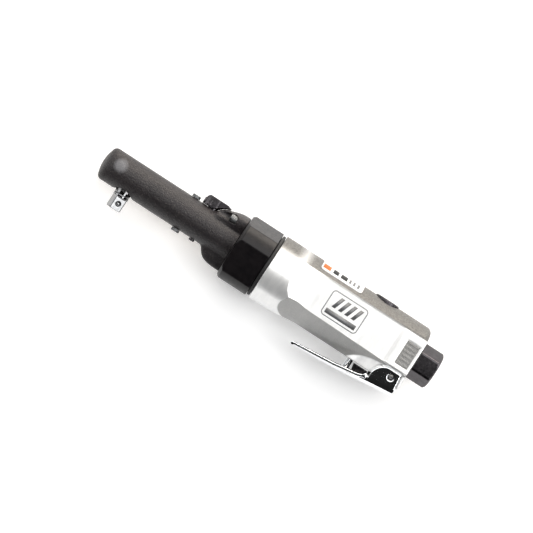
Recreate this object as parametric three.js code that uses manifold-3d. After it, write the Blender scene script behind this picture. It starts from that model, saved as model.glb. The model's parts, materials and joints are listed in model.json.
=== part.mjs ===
// A slim quarter-inch air ratchet, built the way it comes apart on a bench.
//
// The tool axis runs along +X from the ratchet head to the air inlet. The square drive and the throttle
// lever point to -Y. The tool lies on its side, so +Z is up. The origin is the middle of the square
// drive's end face. Every size below is in millimetres, measured from the drive axis (x) and from the
// tool axis (y and z); the last group in this file lifts the whole tool so that the origin lands on the
// end of the drive.

import * as THREE from 'three';
import { mergeVertices } from 'three/addons/utils/BufferGeometryUtils.js';
import Module from 'manifold-3d';

const wasm = await Module();
wasm.setup();

// ---------------------------------------------------------------- driving dimensions

const FIT = 0.15; // running gap between two round pieces
const SQUARE = 6.35; // across the flats of the quarter-inch drive
const SQUARE_TURN = 22.5; // degrees that the square stands turned at rest
const TUBE_RADIUS = 8.75; // outside of the barrel head
const TUBE_BORE = 7.1; // inside of the barrel head
const DRIVE_REACH = TUBE_RADIUS + 8.7; // tool axis to the end of the square drive
const HEAD_TIP_X = -16.5;
const HEAD_REAR_X = 59.3;
const LOBE_RADIUS = 14.9; // the two screw lobes at the rear of the head
const LOBE_TURN = 75; // degrees from +Z towards +Y, the other lobe is opposite
const LOBE_HALF_WIDTH = 28; // degrees
const SCREW_CIRCLE = 12; // radius of the circle that the case screws sit on
const SCREW_TURN = 58.3; // degrees from +Z towards +Y

const COLLAR_FRONT_X = 59.6;
const COLLAR_REAR_X = 76.6;
const COLLAR_RADIUS = 17.9;
const COLLAR_FLAT = 15.4; // tool axis to a wrench flat
const COLLAR_FLAT_TURN = -17.9; // degrees from +Z towards +Y of the first flat
const SPIGOT_RADIUS = 15.2; // the gear case's tail inside the motor housing
const SPIGOT_REAR_X = 80.5;

const HOUSING_FRONT_X = 78.5;
const HOUSING_REAR_X = 162.4;
const HOUSING_RADIUS = 17.5;
const GEAR_BORE = 13.35; // inside of the gear case around the ring gear
const MOTOR_BORE = 11.8; // inside of the housing around the motor
const MOTOR_BORE_END_X = 116;
const SIDE_FLAT_FRONT = 13.3; // tool axis to the side flat where it starts
const SIDE_FLAT_REAR = 12.45; // and at the rear, after the casting draft
const SLANT_FLAT = 14.6; // tool axis to the slanted lower flats
const SLANT_TURN = 44; // degrees below the side flat
const BELLY_Y = -15.75; // the flat underside

const GEAR_MODULE = 0.55;
const PRESSURE_ANGLE = THREE.MathUtils.degToRad(25);
const ADDENDUM = 0.8 * GEAR_MODULE;
const DEDENDUM = 1.05 * GEAR_MODULE;
const TOOTH_SLACK = 0.07; // taken off each tooth at the pitch circle
const SUN_TEETH = 12;
const PLANET_TEETH = 15;
const RING_TEETH = SUN_TEETH + 2 * PLANET_TEETH;
const PLANET_COUNT = 3;
const PLANET_CIRCLE = (GEAR_MODULE * (SUN_TEETH + PLANET_TEETH)) / 2;

const CRANK_RADIUS = 3.35;
const CRANK_THROW = 0.85;
const CRANK_PIN_RADIUS = 1.2;
const YOKE_HALF_HEIGHT = 2.4;
const YOKE_RADIUS = 6.5;
const WHEEL_TEETH = 48;
const WHEEL_TIP = 4.5;
const PAWL_PIVOT_X = 6.5;

const ROD_Y = 6.15; // the reverse rod lies above the crankshaft
const REVERSE_X = 40.7;
const REVERSE_THROW = 2;

const ROTOR_RADIUS = 8.35;
const VANE_COUNT = 5;
const LINER_RADIUS = MOTOR_BORE - 0.3;
const LINER_BORE = 9.4;
const LINER_OFFSET = 0.9;

const VALVE_X = 136.2;
const VALVE_BORE = 5.2;
const STEM_RADIUS = 1.75;
const STEM_END_Y = -21.6;
const DIAL_RADIUS = 6.5;
const FEED_Y = -9.6; // air passage from the valve to the motor
const EXHAUST_Y = 8;
const EXHAUST_Z = 9.5;
const EXHAUST_RADIUS = 1.8;

const LEVER_PIVOT = [156.6, -12.6];
const LEVER_SHEET = 1.2;
const LEVER_HALF_WIDTH = 12.1;
const EAR_RECESS_Z = 10.6;
const LEVER_PIN_HOLE = 1.65; // radius, in the lever and in the housing
const LEVER_TIP = [107.4, -25.2];

const INLET_Y = 1;
const INLET_FRONT_X = 162.9;
const INLET_REAR_X = 173.8;
const INLET_FLATS = 17; // across the flats of the hexagon
const INLET_BORE = 5.7;
const INLET_SHANK = 7.3; // radius of the end that is screwed into the housing

// ---------------------------------------------------------------- shape helpers

const radians = THREE.MathUtils.degToRad;

// An outline lies in a plane (a, b) and is swept along c. These matrices lay c along X, Y or Z:
// for X the outline is (y, z), for Y it is (z, x), and for Z it is (x, y).
const LAY_ALONG = {
  x: new THREE.Matrix4().makeBasis(
    new THREE.Vector3(0, 1, 0), new THREE.Vector3(0, 0, 1), new THREE.Vector3(1, 0, 0)),
  y: new THREE.Matrix4().makeBasis(
    new THREE.Vector3(0, 0, 1), new THREE.Vector3(1, 0, 0), new THREE.Vector3(0, 1, 0)),
  z: new THREE.Matrix4(),
};

// The geometry's vertices and triangles, merged, without flat triangles and with faces outwards.
function closedMesh(geometry) {
  const bare = geometry.clone();
  bare.deleteAttribute('normal');
  bare.deleteAttribute('uv');
  const merged = geometry.userData.closed ? bare : mergeVertices(bare, 1e-4);
  const position = merged.attributes.position;
  const corners = [0, 1, 2].map(() => new THREE.Vector3());
  const triangles = [];
  let volume = 0;
  for (let start = 0; start < merged.index.count; start += 3) {
    const indices = [0, 1, 2].map((step) => merged.index.getX(start + step));
    if (new Set(indices).size < 3) continue;
    indices.forEach((index, step) => corners[step].fromBufferAttribute(position, index));
    volume += corners[0].dot(corners[1].clone().cross(corners[2]));
    triangles.push(indices);
  }
  const triVerts = triangles.flatMap(([a, b, c]) => (volume < 0 ? [a, c, b] : [a, b, c]));
  return { vertProperties: Float32Array.from(position.array), triVerts: Uint32Array.from(triVerts) };
}

function toManifold(geometry) {
  return new wasm.Manifold(new wasm.Mesh({ numProp: 3, ...closedMesh(geometry) }));
}

function toGeometry(manifold) {
  const mesh = manifold.getMesh();
  const geometry = new THREE.BufferGeometry();
  geometry.setAttribute('position', new THREE.BufferAttribute(Float32Array.from(mesh.vertProperties), 3));
  geometry.setIndex(new THREE.BufferAttribute(Uint32Array.from(mesh.triVerts), 1));
  geometry.userData.closed = true;
  return geometry;
}

function combine(operation, pieces) {
  const [first, ...rest] = pieces.flat().map(toManifold);
  return toGeometry(rest.reduce((sum, next) => sum[operation](next), first));
}

const cut = (base, ...tools) => combine('subtract', [base, ...tools]);
const join = (...pieces) => combine('add', pieces);
const overlap = (...pieces) => combine('intersect', pieces);

// A solid of revolution: the profile is a list of [along the axis, radius].
function turned(axis, profile, segments = 28) {
  const points = profile.map(([along, radius]) => new THREE.Vector2(radius, along));
  const onAxis = points[0].x === 0 && points[points.length - 1].x === 0;
  if (!onAxis) points.push(points[0].clone());
  return new THREE.LatheGeometry(points, segments).rotateX(Math.PI / 2).applyMatrix4(LAY_ALONG[axis]);
}

function rod(axis, from, to, radius, segments = 20) {
  return turned(axis, [[from, 0], [from, radius], [to, radius], [to, 0]], segments);
}

function tube(axis, from, to, outer, inner, segments = 28) {
  return turned(axis, [[from, inner], [from, outer], [to, outer], [to, inner]], segments);
}

function prism(axis, outline, from, to) {
  const shape = new THREE.Shape(outline.map(([a, b]) => new THREE.Vector2(a, b)));
  const sweep = new THREE.ExtrudeGeometry(shape, { depth: to - from, bevelEnabled: false });
  return sweep.translate(0, 0, from).applyMatrix4(LAY_ALONG[axis]);
}

function block(x, y, z) {
  const size = [x, y, z].map(([low, high]) => high - low);
  const middle = [x, y, z].map(([low, high]) => (low + high) / 2);
  return new THREE.BoxGeometry(...size).translate(...middle);
}

const mirrorZ = (geometry) => geometry.clone().applyMatrix4(new THREE.Matrix4().makeScale(1, 1, -1));
const turnX = (geometry, degrees) => geometry.clone().rotateX(radians(degrees));

// Points on an arc about a centre, from one angle to another, in degrees.
function arc([a, b], radius, from, to, steps) {
  return Array.from({ length: steps + 1 }, (_, step) => {
    const angle = radians(from + ((to - from) * step) / steps);
    return [a + radius * Math.cos(angle), b + radius * Math.sin(angle)];
  });
}

const polar = (radius, degrees) => [radius * Math.cos(radians(degrees)), radius * Math.sin(radians(degrees))];

// An involute gear outline with one tooth on the first axis. A positive slack thins the teeth.
function gearOutline(teeth, rootRadius, tipRadius, slack) {
  const pitchRadius = (GEAR_MODULE * teeth) / 2;
  const baseRadius = pitchRadius * Math.cos(PRESSURE_ANGLE);
  const involute = (angle) => Math.tan(angle) - angle;
  const halfAngle = (radius) => {
    const pressure = Math.acos(Math.min(1, baseRadius / radius));
    return Math.PI / (2 * teeth) - slack / pitchRadius + involute(PRESSURE_ANGLE) - involute(pressure);
  };
  const flankStart = Math.max(rootRadius, baseRadius);
  const flank = [[rootRadius, halfAngle(flankStart)]];
  if (flankStart > rootRadius) flank.push([flankStart, halfAngle(flankStart)]);
  flank.push([tipRadius, halfAngle(tipRadius)]);
  const outline = [];
  for (let tooth = 0; tooth < teeth; tooth += 1) {
    const middle = (2 * Math.PI * tooth) / teeth;
    const rising = flank.map(([radius, half]) => [radius, middle - half]);
    const falling = flank.map(([radius, half]) => [radius, middle + half]).reverse();
    outline.push(...rising, ...falling);
  }
  return outline.map(([radius, angle]) => [radius * Math.cos(angle), radius * Math.sin(angle)]);
}

// A round wire wound into an open coil along Y, from the first height to the second.
class Coil extends THREE.Curve {
  constructor(radius, low, high, turns) {
    super();
    Object.assign(this, { radius, low, high, turns });
  }

  getPoint(t) {
    const angle = 2 * Math.PI * this.turns * t;
    const height = this.low + (this.high - this.low) * t;
    return new THREE.Vector3(this.radius * Math.cos(angle), height, this.radius * Math.sin(angle));
  }
}

function coilSpring(radius, wire, low, high, turns) {
  const section = new THREE.Shape(arc([0, 0], wire, 0, 300, 5).map(([a, b]) => new THREE.Vector2(a, b)));
  const path = new Coil(radius, low, high, turns);
  return new THREE.ExtrudeGeometry(section, { steps: turns * 8, extrudePath: path });
}

// ---------------------------------------------------------------- materials and nodes

const FINISH = {
  headCoat: { color: 0x2a2528, roughness: 0.6, metalness: 0.2 },
  collarCoat: { color: 0x241f22, roughness: 0.4, metalness: 0.3 },
  casting: { color: 0xd4d5d6, roughness: 0.3, metalness: 0.9 },
  chrome: { color: 0xdfe3e6, roughness: 0.12, metalness: 1 },
  steel: { color: 0x8d9196, roughness: 0.35, metalness: 1 },
  blackSteel: { color: 0x17161a, roughness: 0.25, metalness: 0.6 },
  bronze: { color: 0x9a7440, roughness: 0.4, metalness: 0.9 },
  brass: { color: 0xb9974f, roughness: 0.35, metalness: 0.9 },
  rubber: { color: 0x151515, roughness: 0.8, metalness: 0 },
  vanePlastic: { color: 0x6b4a2c, roughness: 0.6, metalness: 0 },
  label: { color: 0xf2f2f0, roughness: 0.4, metalness: 0 },
};

const tool = new THREE.Group();

function addNode(name, geometry, finish, position = [0, 0, 0], turnAboutX = 0) {
  const closed = geometry.userData.closed ? geometry : join(geometry);
  closed.computeVertexNormals();
  const mesh = new THREE.Mesh(closed, new THREE.MeshStandardMaterial(FINISH[finish]));
  mesh.name = name;
  mesh.position.set(...position);
  mesh.rotation.x = radians(turnAboutX);
  tool.add(mesh);
}

// ---------------------------------------------------------------- ratchet housing: the black barrel

const CAP_SCREW_HEAD = 1.95;
const CAP_SCREW_SEAT_X = 54;
const SET_SCREW_X = 31;
const SET_SCREW_HOLE = 1.45; // radius
const GREASE_SCREW_X = 40.2;
const CAVITY_HALF_HEIGHT = 2.6;
const CAVITY_REAR_X = 13.2; // the room for the yoke runs a little into the barrel's bore
const ANVIL_BORE = 5.4;
const REVERSE_HUB = 2.6;
const BUSHING_FRONT_X = 8.5;
const BUSHING_REAR_X = 12.5;
const BUSHING_RADIUS = 2;

// Towards its tip the barrel is squeezed sideways, so that it is round seen along the drive axis too.
const SQUEEZE_START_X = -2;
const SQUEEZE_LENGTH = 14.6;
const SQUEEZE_POWER = 2.2;

function squeeze(x) {
  const share = Math.max(0, (SQUEEZE_START_X - x) / SQUEEZE_LENGTH);
  return (1 - share ** SQUEEZE_POWER) ** (1 / SQUEEZE_POWER);
}

function barrel() {
  const domeRadius = 19;
  const corner = 2.6;
  const cornerX = -12.8;
  const dome = arc([HEAD_TIP_X + domeRadius, 0], domeRadius, 180, 161, 3);
  const rim = arc([cornerX, TUBE_RADIUS - corner], corner, 155, 90, 3);
  const stations = [-11, -9, -6.5, -4, SQUEEZE_START_X].map((x) => [x, TUBE_RADIUS]);
  const bar = turned('x', [...dome, ...rim, ...stations, [HEAD_REAR_X, TUBE_RADIUS], [HEAD_REAR_X, 0]], 40);
  const position = bar.attributes.position;
  for (let index = 0; index < position.count; index += 1) {
    position.setZ(index, position.getZ(index) * squeeze(position.getX(index)));
  }
  return bar;
}

function screwLobes() {
  const frontX = 45.6;
  const rootRadius = 8; // the lobes grow out of the barrel's wall
  const profile = [[frontX, rootRadius], [frontX, TUBE_RADIUS], [47, 10.5], [49, 12.5], [51.4, 14.3],
    [54, LOBE_RADIUS], [HEAD_REAR_X, LOBE_RADIUS], [HEAD_REAR_X, rootRadius]];
  const flare = turned('x', profile, 48);
  const wedgeReach = 18;
  const wedge = [[0, 0], ...arc([0, 0], wedgeReach, 90 - LOBE_TURN - LOBE_HALF_WIDTH,
    90 - LOBE_TURN + LOBE_HALF_WIDTH, 4)];
  const upper = prism('x', wedge, frontX - 1, HEAD_REAR_X + 1);
  return overlap(flare, join(upper, turnX(upper, 180)));
}

// The pocket that a case screw sinks into, open towards the side that the screw is turned to.
function screwPocket() {
  const y = SCREW_CIRCLE * Math.sin(radians(SCREW_TURN));
  const z = SCREW_CIRCLE * Math.cos(radians(SCREW_TURN));
  const radius = CAP_SCREW_HEAD + 0.3;
  const bore = rod('x', 44, CAP_SCREW_SEAT_X, radius, 12).translate(0, y, z);
  const side = block([48.6, CAP_SCREW_SEAT_X], [y - radius, y + radius], [z, z + 5]);
  const shank = rod('x', CAP_SCREW_SEAT_X - 1, HEAD_REAR_X + 1, 1.3, 12).translate(0, y, z);
  return join(bore, side, shank);
}

function headCavity() {
  const yokeRoom = join(
    rod('y', -CAVITY_HALF_HEIGHT, CAVITY_HALF_HEIGHT, YOKE_RADIUS + 0.3, 28),
    block([0, CAVITY_REAR_X], [-CAVITY_HALF_HEIGHT, CAVITY_HALF_HEIGHT], [-6.6, 6.6]),
  );
  const fingerRoom = block([4, CAVITY_REAR_X], [2, 6.9], [-2.8, 3]);
  const rodHole = rod('x', 3, 14, 0.95, 12).translate(0, ROD_Y, 0);
  const anvilBore = rod('y', -TUBE_RADIUS - 1, 0, ANVIL_BORE, 28);
  const topBore = rod('y', 0, 6.6, 4.3, 20);
  const tubeBore = rod('x', CAVITY_REAR_X - 0.2, HEAD_REAR_X + 1, TUBE_BORE, 40);
  const crankSweep = CRANK_THROW + BUSHING_RADIUS + 2 * FIT;
  const bushingRoom = rod('x', BUSHING_FRONT_X - 1, CAVITY_REAR_X, crankSweep, 24);
  return [yokeRoom, fingerRoom, rodHole, anvilBore, topBore, tubeBore, bushingRoom];
}

function ratchetHousing() {
  const pocket = screwPocket();
  const setScrewHole = rod('y', -11, 11, SET_SCREW_HOLE, 12).translate(SET_SCREW_X, 0, 0);
  const greaseHole = rod('y', -11, -5, 1.2, 12).translate(GREASE_SCREW_X, 0, 0);
  const hubHole = rod('y', 5, 11, REVERSE_HUB + FIT, 20).translate(REVERSE_X, 0, 0);
  return cut(join(barrel(), screwLobes()), pocket, turnX(pocket, 180), ...headCavity(),
    setScrewHole, greaseHole, hubHole);
}

addNode('ratchet_housing', ratchetHousing(), 'headCoat');

// ---------------------------------------------------------------- anvil and its bearings

const WHEEL_HALF_HEIGHT = 1.5;
const SHANK_RADIUS = 4.1;
const SHANK_END_Y = -11.1;
const JOURNAL_RADIUS = 2.4; // the anvil's upper end
const BALL_Y = -DRIVE_REACH + 3.4;
const BALL_RADIUS = 1;

function ratchetWheel() {
  const root = 4.15;
  const outline = [];
  for (let tooth = 0; tooth < WHEEL_TEETH; tooth += 1) {
    const pitch = 360 / WHEEL_TEETH;
    outline.push(polar(root, tooth * pitch), polar(WHEEL_TIP, (tooth + 0.5) * pitch));
  }
  return prism('y', outline, -WHEEL_HALF_HEIGHT, WHEEL_HALF_HEIGHT);
}

// The square drive with chamfered edges at its free end, standing on the anvil's axis.
function squareDrive() {
  const half = SQUARE / 2;
  const chamfer = 0.8;
  const edge = 0.5;
  const square = [[half, half - edge], [half - edge, half], [edge - half, half], [-half, half - edge],
    [-half, edge - half], [edge - half, -half], [half - edge, -half], [half, edge - half]];
  const bar = prism('y', square, -DRIVE_REACH, SHANK_END_Y + 0.5);
  const bevel = turned('y', [[-DRIVE_REACH, 0], [-DRIVE_REACH, half + 0.5], [chamfer * 1.6 - DRIVE_REACH, 5],
    [SHANK_END_Y + 1, 5], [SHANK_END_Y + 1, 0]], 20);
  const ballHole = rod('z', half - 2.6, half + 1, BALL_RADIUS + 0.1, 12).translate(0, BALL_Y, 0);
  return cut(overlap(bar, bevel), ballHole).rotateY(radians(SQUARE_TURN));
}

function anvil() {
  const shank = turned('y', [[SHANK_END_Y, 0], [SHANK_END_Y, SHANK_RADIUS - 0.3],
    [SHANK_END_Y + 0.3, SHANK_RADIUS], [0, SHANK_RADIUS], [0, 0]], 24);
  const journal = rod('y', -0.5, 6.1, JOURNAL_RADIUS, 20);
  return join(shank, ratchetWheel(), journal, squareDrive());
}

// The square's own frame is turned, so what sits in its ball hole is turned with it.
const inSquare = (geometry) => geometry.rotateY(radians(SQUARE_TURN));

addNode('anvil', anvil(), 'chrome');
addNode('anvil_top_bushing', tube('y', 2.75, 6.3, 4.15, JOURNAL_RADIUS + FIT, 20), 'bronze');
addNode('anvil_bushing', tube('y', -6.6, -2.75, ANVIL_BORE - FIT, SHANK_RADIUS + FIT, 24), 'bronze');
addNode('anvil_retaining_ring', tube('y', -7.9, -6.8, ANVIL_BORE - FIT, SHANK_RADIUS + FIT, 24), 'blackSteel');
addNode('socket_ball', inSquare(new THREE.SphereGeometry(BALL_RADIUS, 16, 12)
  .translate(0, BALL_Y, SQUARE / 2 - 0.45)), 'chrome');
addNode('socket_ball_spring', inSquare(coilSpring(0.5, 0.12, 0, 0.8, 3).rotateX(Math.PI / 2)
  .translate(0, BALL_Y, SQUARE / 2 - 2.4)), 'steel');

// ---------------------------------------------------------------- yoke, pawl and drive bushing

const YOKE_REAR_X = 12.7;
const FORK_INNER = 3.9;
const FORK_OUTER = 5.4;
const POCKET_HALF_HEIGHT = 1.65;
const PAWL_PIN_RADIUS = 0.6;

function yoke() {
  const body = join(
    rod('y', -YOKE_HALF_HEIGHT, YOKE_HALF_HEIGHT, YOKE_RADIUS, 28),
    block([0, YOKE_REAR_X], [-YOKE_HALF_HEIGHT, YOKE_HALF_HEIGHT], [-FORK_OUTER, FORK_OUTER]),
  );
  const wheelRoom = rod('y', -4, 4, 4.75, 28);
  const forkSlot = block([8.1, YOKE_REAR_X + 1], [-4, 4], [-FORK_INNER, FORK_INNER]);
  const pawlPocket = block([2.8, 9], [-POCKET_HALF_HEIGHT, POCKET_HALF_HEIGHT], [-3.1, 3.1]);
  const pinHole = rod('y', -4, 4, PAWL_PIN_RADIUS + 0.1, 12).translate(PAWL_PIVOT_X, 0, 0);
  const postWindow = block([4.6, 7.2], [0, 4], [1, 2.7]);
  return cut(body, wheelRoom, forkSlot, pawlPocket, pinHole, postWindow);
}

// A double-ended pawl: either nose can lean on the wheel. The post stands up through the yoke's window.
function pawl() {
  const upperHalf = [[2.2, 4.4], [2.75, 5.1], [2.3, 6.3], [0.9, 7.6]];
  const lowerHalf = upperHalf.map(([z, x]) => [-z, x]).reverse();
  const outline = [[0, 5.35], [1, 5.2], ...upperHalf, ...lowerHalf, [-1, 5.2]];
  const plate = prism('y', outline, -WHEEL_HALF_HEIGHT, WHEEL_HALF_HEIGHT);
  const post = block([5.5, 6.3], [0, 3.5], [1.4, 2.1]);
  return cut(join(plate, post), rod('y', -4, 4, PAWL_PIN_RADIUS + 0.1, 12).translate(PAWL_PIVOT_X, 0, 0));
}

addNode('ratchet_yoke', yoke(), 'steel');
addNode('pawl_pin', rod('y', -YOKE_HALF_HEIGHT, YOKE_HALF_HEIGHT, PAWL_PIN_RADIUS, 12), 'steel',
  [PAWL_PIVOT_X, 0, 0]);
addNode('direction_pawl', pawl(), 'steel');
addNode('drive_bushing', tube('x', BUSHING_FRONT_X, BUSHING_REAR_X, BUSHING_RADIUS, CRANK_PIN_RADIUS + FIT, 20),
  'bronze', [0, CRANK_THROW, 0]);

// ---------------------------------------------------------------- crankshaft and its bearings

const CRANK_FLANGE_X = 13.3;
const CARRIER_FRONT_X = 62;
const CARRIER_REAR_X = 65;
const PLANET_PIN_RADIUS = 1.1;
const CARRIER_RADIUS = 9.7;
const CRANK_FLANGE_RADIUS = 4.6;
const NEEDLE_RADIUS = 5; // outside of the needle bearing

function planetPlaces() {
  return Array.from({ length: PLANET_COUNT }, (_, index) => {
    const degrees = (360 * index) / PLANET_COUNT;
    const angle = radians(degrees);
    return { degrees, y: PLANET_CIRCLE * Math.cos(angle), z: PLANET_CIRCLE * Math.sin(angle) };
  });
}

function crankshaft() {
  const shaft = turned('x', [[CRANK_FLANGE_X, 0], [CRANK_FLANGE_X, CRANK_FLANGE_RADIUS],
    [15, CRANK_FLANGE_RADIUS], [15, CRANK_RADIUS], [CARRIER_FRONT_X, CRANK_RADIUS],
    [CARRIER_FRONT_X, CARRIER_RADIUS - 0.5], [CARRIER_FRONT_X + 0.5, CARRIER_RADIUS],
    [CARRIER_REAR_X, CARRIER_RADIUS], [CARRIER_REAR_X, 0]], 28);
  const crankPin = rod('x', 8.35, CRANK_FLANGE_X + 1, CRANK_PIN_RADIUS, 12).translate(0, CRANK_THROW, 0);
  const pinHoles = planetPlaces().map(({ y, z }) =>
    rod('x', CARRIER_FRONT_X - 1, CARRIER_REAR_X + 1, PLANET_PIN_RADIUS + 0.1, 12).translate(0, y, z));
  return cut(join(shaft, crankPin), ...pinHoles);
}

// A plain ring stands for a bearing's races and rolling elements together.
function bearing(name, from, to, outer, inner, chamfer = 0.25) {
  const profile = [[from, inner], [from, outer - chamfer], [from + chamfer, outer], [to - chamfer, outer],
    [to, outer - chamfer], [to, inner]];
  addNode(name, turned('x', profile, 24), 'steel');
}

// The sleeve that holds the needle bearing is slit along its top, where the reverse rod slides.
function bearingCarrier() {
  const sleeve = tube('x', 17, 35, TUBE_BORE - 0.1, NEEDLE_RADIUS + FIT, 28);
  const rodSlot = block([16, 36], [3, 8], [-1.15, 1.15]);
  const screwDimple = rod('y', -8, -4, SET_SCREW_HOLE, 12).translate(SET_SCREW_X, 0, 0);
  return cut(sleeve, rodSlot, screwDimple);
}

addNode('crankshaft', crankshaft(), 'steel');
addNode('bearing_carrier', bearingCarrier(), 'steel');
bearing('needle_bearing', 18, 28, NEEDLE_RADIUS, CRANK_RADIUS + FIT);
bearing('crank_rear_bearing', 52, 57.5, TUBE_BORE - 0.15, CRANK_RADIUS + FIT);

// ---------------------------------------------------------------- reverse lever and rod

const FINGER_X = 7.85;

// The rod carries a finger at its front, which leans on the pawl's post, and a slotted arm at its rear,
// which the lever's eccentric pin moves.
function reverseRod() {
  const bar = rod('x', FINGER_X, 43, 0.7, 12).translate(0, ROD_Y, 0);
  const finger = block([FINGER_X, FINGER_X + 0.8], [3.1, ROD_Y + 0.5], [-0.6, 2.6]);
  const arm = block([REVERSE_X - 1.6, REVERSE_X + 1.6], [5.5, 6.2], [-0.6, 3]);
  const slot = block([REVERSE_X - 0.7, REVERSE_X + 0.7], [4, 6.5], [0.7, 2.75]);
  return cut(join(bar, finger, arm), slot);
}

function reverseLever() {
  const side = [[-6.1, 9.1], [-6.1, 12], [-5.2, 12.6], [-5.2, 13.2], [-4.2, 14.3], [5.9, 14.3], [8.1, 13.5],
    [7.9, 13], [6.1, 13], [4.3, 11], [3.9, 9.1]];
  const halfWidth = 3.4;
  const body = prism('z', side, -halfWidth, halfWidth).translate(REVERSE_X, 0, 0);
  const nose = 4;
  const plan = [...arc([0, REVERSE_X - 2.6], halfWidth, 180, 360, 8), [nose / 2, REVERSE_X + 8.2],
    [-nose / 2, REVERSE_X + 8.2]];
  const fluteSpots = [-3.4, 1, 2.9];
  const flutes = [1, -1].flatMap((sideSign) => fluteSpots.map((spot) =>
    rod('y', 10.2, 16, 0.7, 12).translate(REVERSE_X + spot, 0, sideSign * (halfWidth + 0.1))));
  const hub = rod('y', 7.1, 9.4, REVERSE_HUB, 20).translate(REVERSE_X, 0, 0);
  const eccentric = rod('y', 5.4, 7.4, 0.5, 12).translate(REVERSE_X, 0, REVERSE_THROW);
  return join(cut(overlap(body, prism('y', plan, 5, 16)), ...flutes), hub, eccentric);
}

addNode('reverse_rod', reverseRod(), 'steel');
addNode('reverse_lever', reverseLever(), 'blackSteel');

// ---------------------------------------------------------------- screws

function socketScrew(axis, seat, headLength, headRadius, shankEnd, shankRadius, socket) {
  const towardHead = Math.sign(seat - shankEnd);
  const top = seat + towardHead * headLength;
  const edge = top - towardHead * 0.3;
  const screw = turned(axis, [[top, 0], [top, headRadius - 0.3], [edge, headRadius], [seat, headRadius],
    [seat, shankRadius], [shankEnd, shankRadius], [shankEnd, 0]], 12);
  const floor = top - towardHead * headLength * 0.6;
  const hexagon = arc([0, 0], socket, 0, 300, 5);
  return cut(screw, prism(axis, hexagon, Math.min(floor, top + towardHead), Math.max(floor, top + towardHead)));
}

const SCREW_SEAT_Y = TUBE_RADIUS + 0.05;

addNode('set_screw_top', socketScrew('y', SCREW_SEAT_Y, 1.6, 2.15, 7.2, 1.3, 1), 'steel', [SET_SCREW_X, 0, 0]);
addNode('set_screw_bottom', socketScrew('y', -SCREW_SEAT_Y, 1.6, 2.15, -5.4, 1.3, 1), 'steel',
  [SET_SCREW_X, 0, 0]);
addNode('grease_screw', socketScrew('y', -SCREW_SEAT_Y, 1.1, 1.45, -7.2, 1.05, 0.7), 'blackSteel',
  [GREASE_SCREW_X, 0, 0]);

const CASE_SCREW_END_X = 65.5;
const CASE_SCREW_SHANK = 1.1; // radius

for (const [name, sign] of [['case_screw_top', 1], ['case_screw_bottom', -1]]) {
  const screw = socketScrew('x', CAP_SCREW_SEAT_X - 0.1, 3.6, CAP_SCREW_HEAD, CASE_SCREW_END_X,
    CASE_SCREW_SHANK, 1.05);
  const y = sign * SCREW_CIRCLE * Math.sin(radians(SCREW_TURN));
  const z = sign * SCREW_CIRCLE * Math.cos(radians(SCREW_TURN));
  addNode(name, screw, 'chrome', [0, y, z]);
}

// ---------------------------------------------------------------- gear case and planetary gears

const GEAR_ROOM_X = 65.2;
const LOCATING_RING_FRONT_X = 57.8;
const LOCATING_RING_RADIUS = TUBE_BORE - 0.2;
const SHAFT_HOLE_RADIUS = 5.5;

function gearCase() {
  const chamfer = 1.5;
  const body = turned('x', [[LOCATING_RING_FRONT_X, 0], [LOCATING_RING_FRONT_X, LOCATING_RING_RADIUS],
    [COLLAR_FRONT_X, LOCATING_RING_RADIUS], [COLLAR_FRONT_X, COLLAR_RADIUS - chamfer],
    [COLLAR_FRONT_X + chamfer, COLLAR_RADIUS], [COLLAR_REAR_X, COLLAR_RADIUS], [COLLAR_REAR_X, SPIGOT_RADIUS],
    [SPIGOT_REAR_X, SPIGOT_RADIUS], [SPIGOT_REAR_X, 0]], 48);
  const slab = block([COLLAR_FRONT_X - 1, COLLAR_REAR_X], [-20, 20], [COLLAR_FLAT, 25]);
  const flats = [0, 90, 180, 270].map((turn) => turnX(slab, -(COLLAR_FLAT_TURN + turn)));
  const shaftHole = rod('x', LOCATING_RING_FRONT_X - 1, 62, SHAFT_HOLE_RADIUS, 24);
  const carrierRoom = rod('x', 61.3, 66, 10.4, 40);
  const gearRoom = rod('x', GEAR_ROOM_X, SPIGOT_REAR_X + 1, GEAR_BORE, 40);
  const screwHoles = [1, -1].map((sign) => rod('x', COLLAR_FRONT_X - 1, GEAR_ROOM_X + 1, 1.25, 12)
    .translate(0, sign * SCREW_CIRCLE * Math.sin(radians(SCREW_TURN)),
      sign * SCREW_CIRCLE * Math.cos(radians(SCREW_TURN))));
  return cut(body, ...flats, shaftHole, carrierRoom, gearRoom, ...screwHoles);
}

const RING_GEAR_FRONT_X = 65.8;
const RING_GEAR_REAR_X = 72.6;

function ringGear() {
  const pitchRadius = (GEAR_MODULE * RING_TEETH) / 2;
  const blank = rod('x', RING_GEAR_FRONT_X, RING_GEAR_REAR_X, GEAR_BORE - 0.2, RING_TEETH);
  const spaces = gearOutline(RING_TEETH, pitchRadius - ADDENDUM, pitchRadius + DEDENDUM, -TOOTH_SLACK);
  return cut(blank, prism('x', spaces, RING_GEAR_FRONT_X - 1, RING_GEAR_REAR_X + 1));
}

function planetGear() {
  const pitchRadius = (GEAR_MODULE * PLANET_TEETH) / 2;
  const outline = gearOutline(PLANET_TEETH, pitchRadius - DEDENDUM, pitchRadius + ADDENDUM, TOOTH_SLACK);
  const bore = rod('x', RING_GEAR_FRONT_X - 1, RING_GEAR_REAR_X + 1, PLANET_PIN_RADIUS + 0.2, 12);
  return cut(prism('x', outline, RING_GEAR_FRONT_X, RING_GEAR_REAR_X - 0.4), bore);
}

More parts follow.
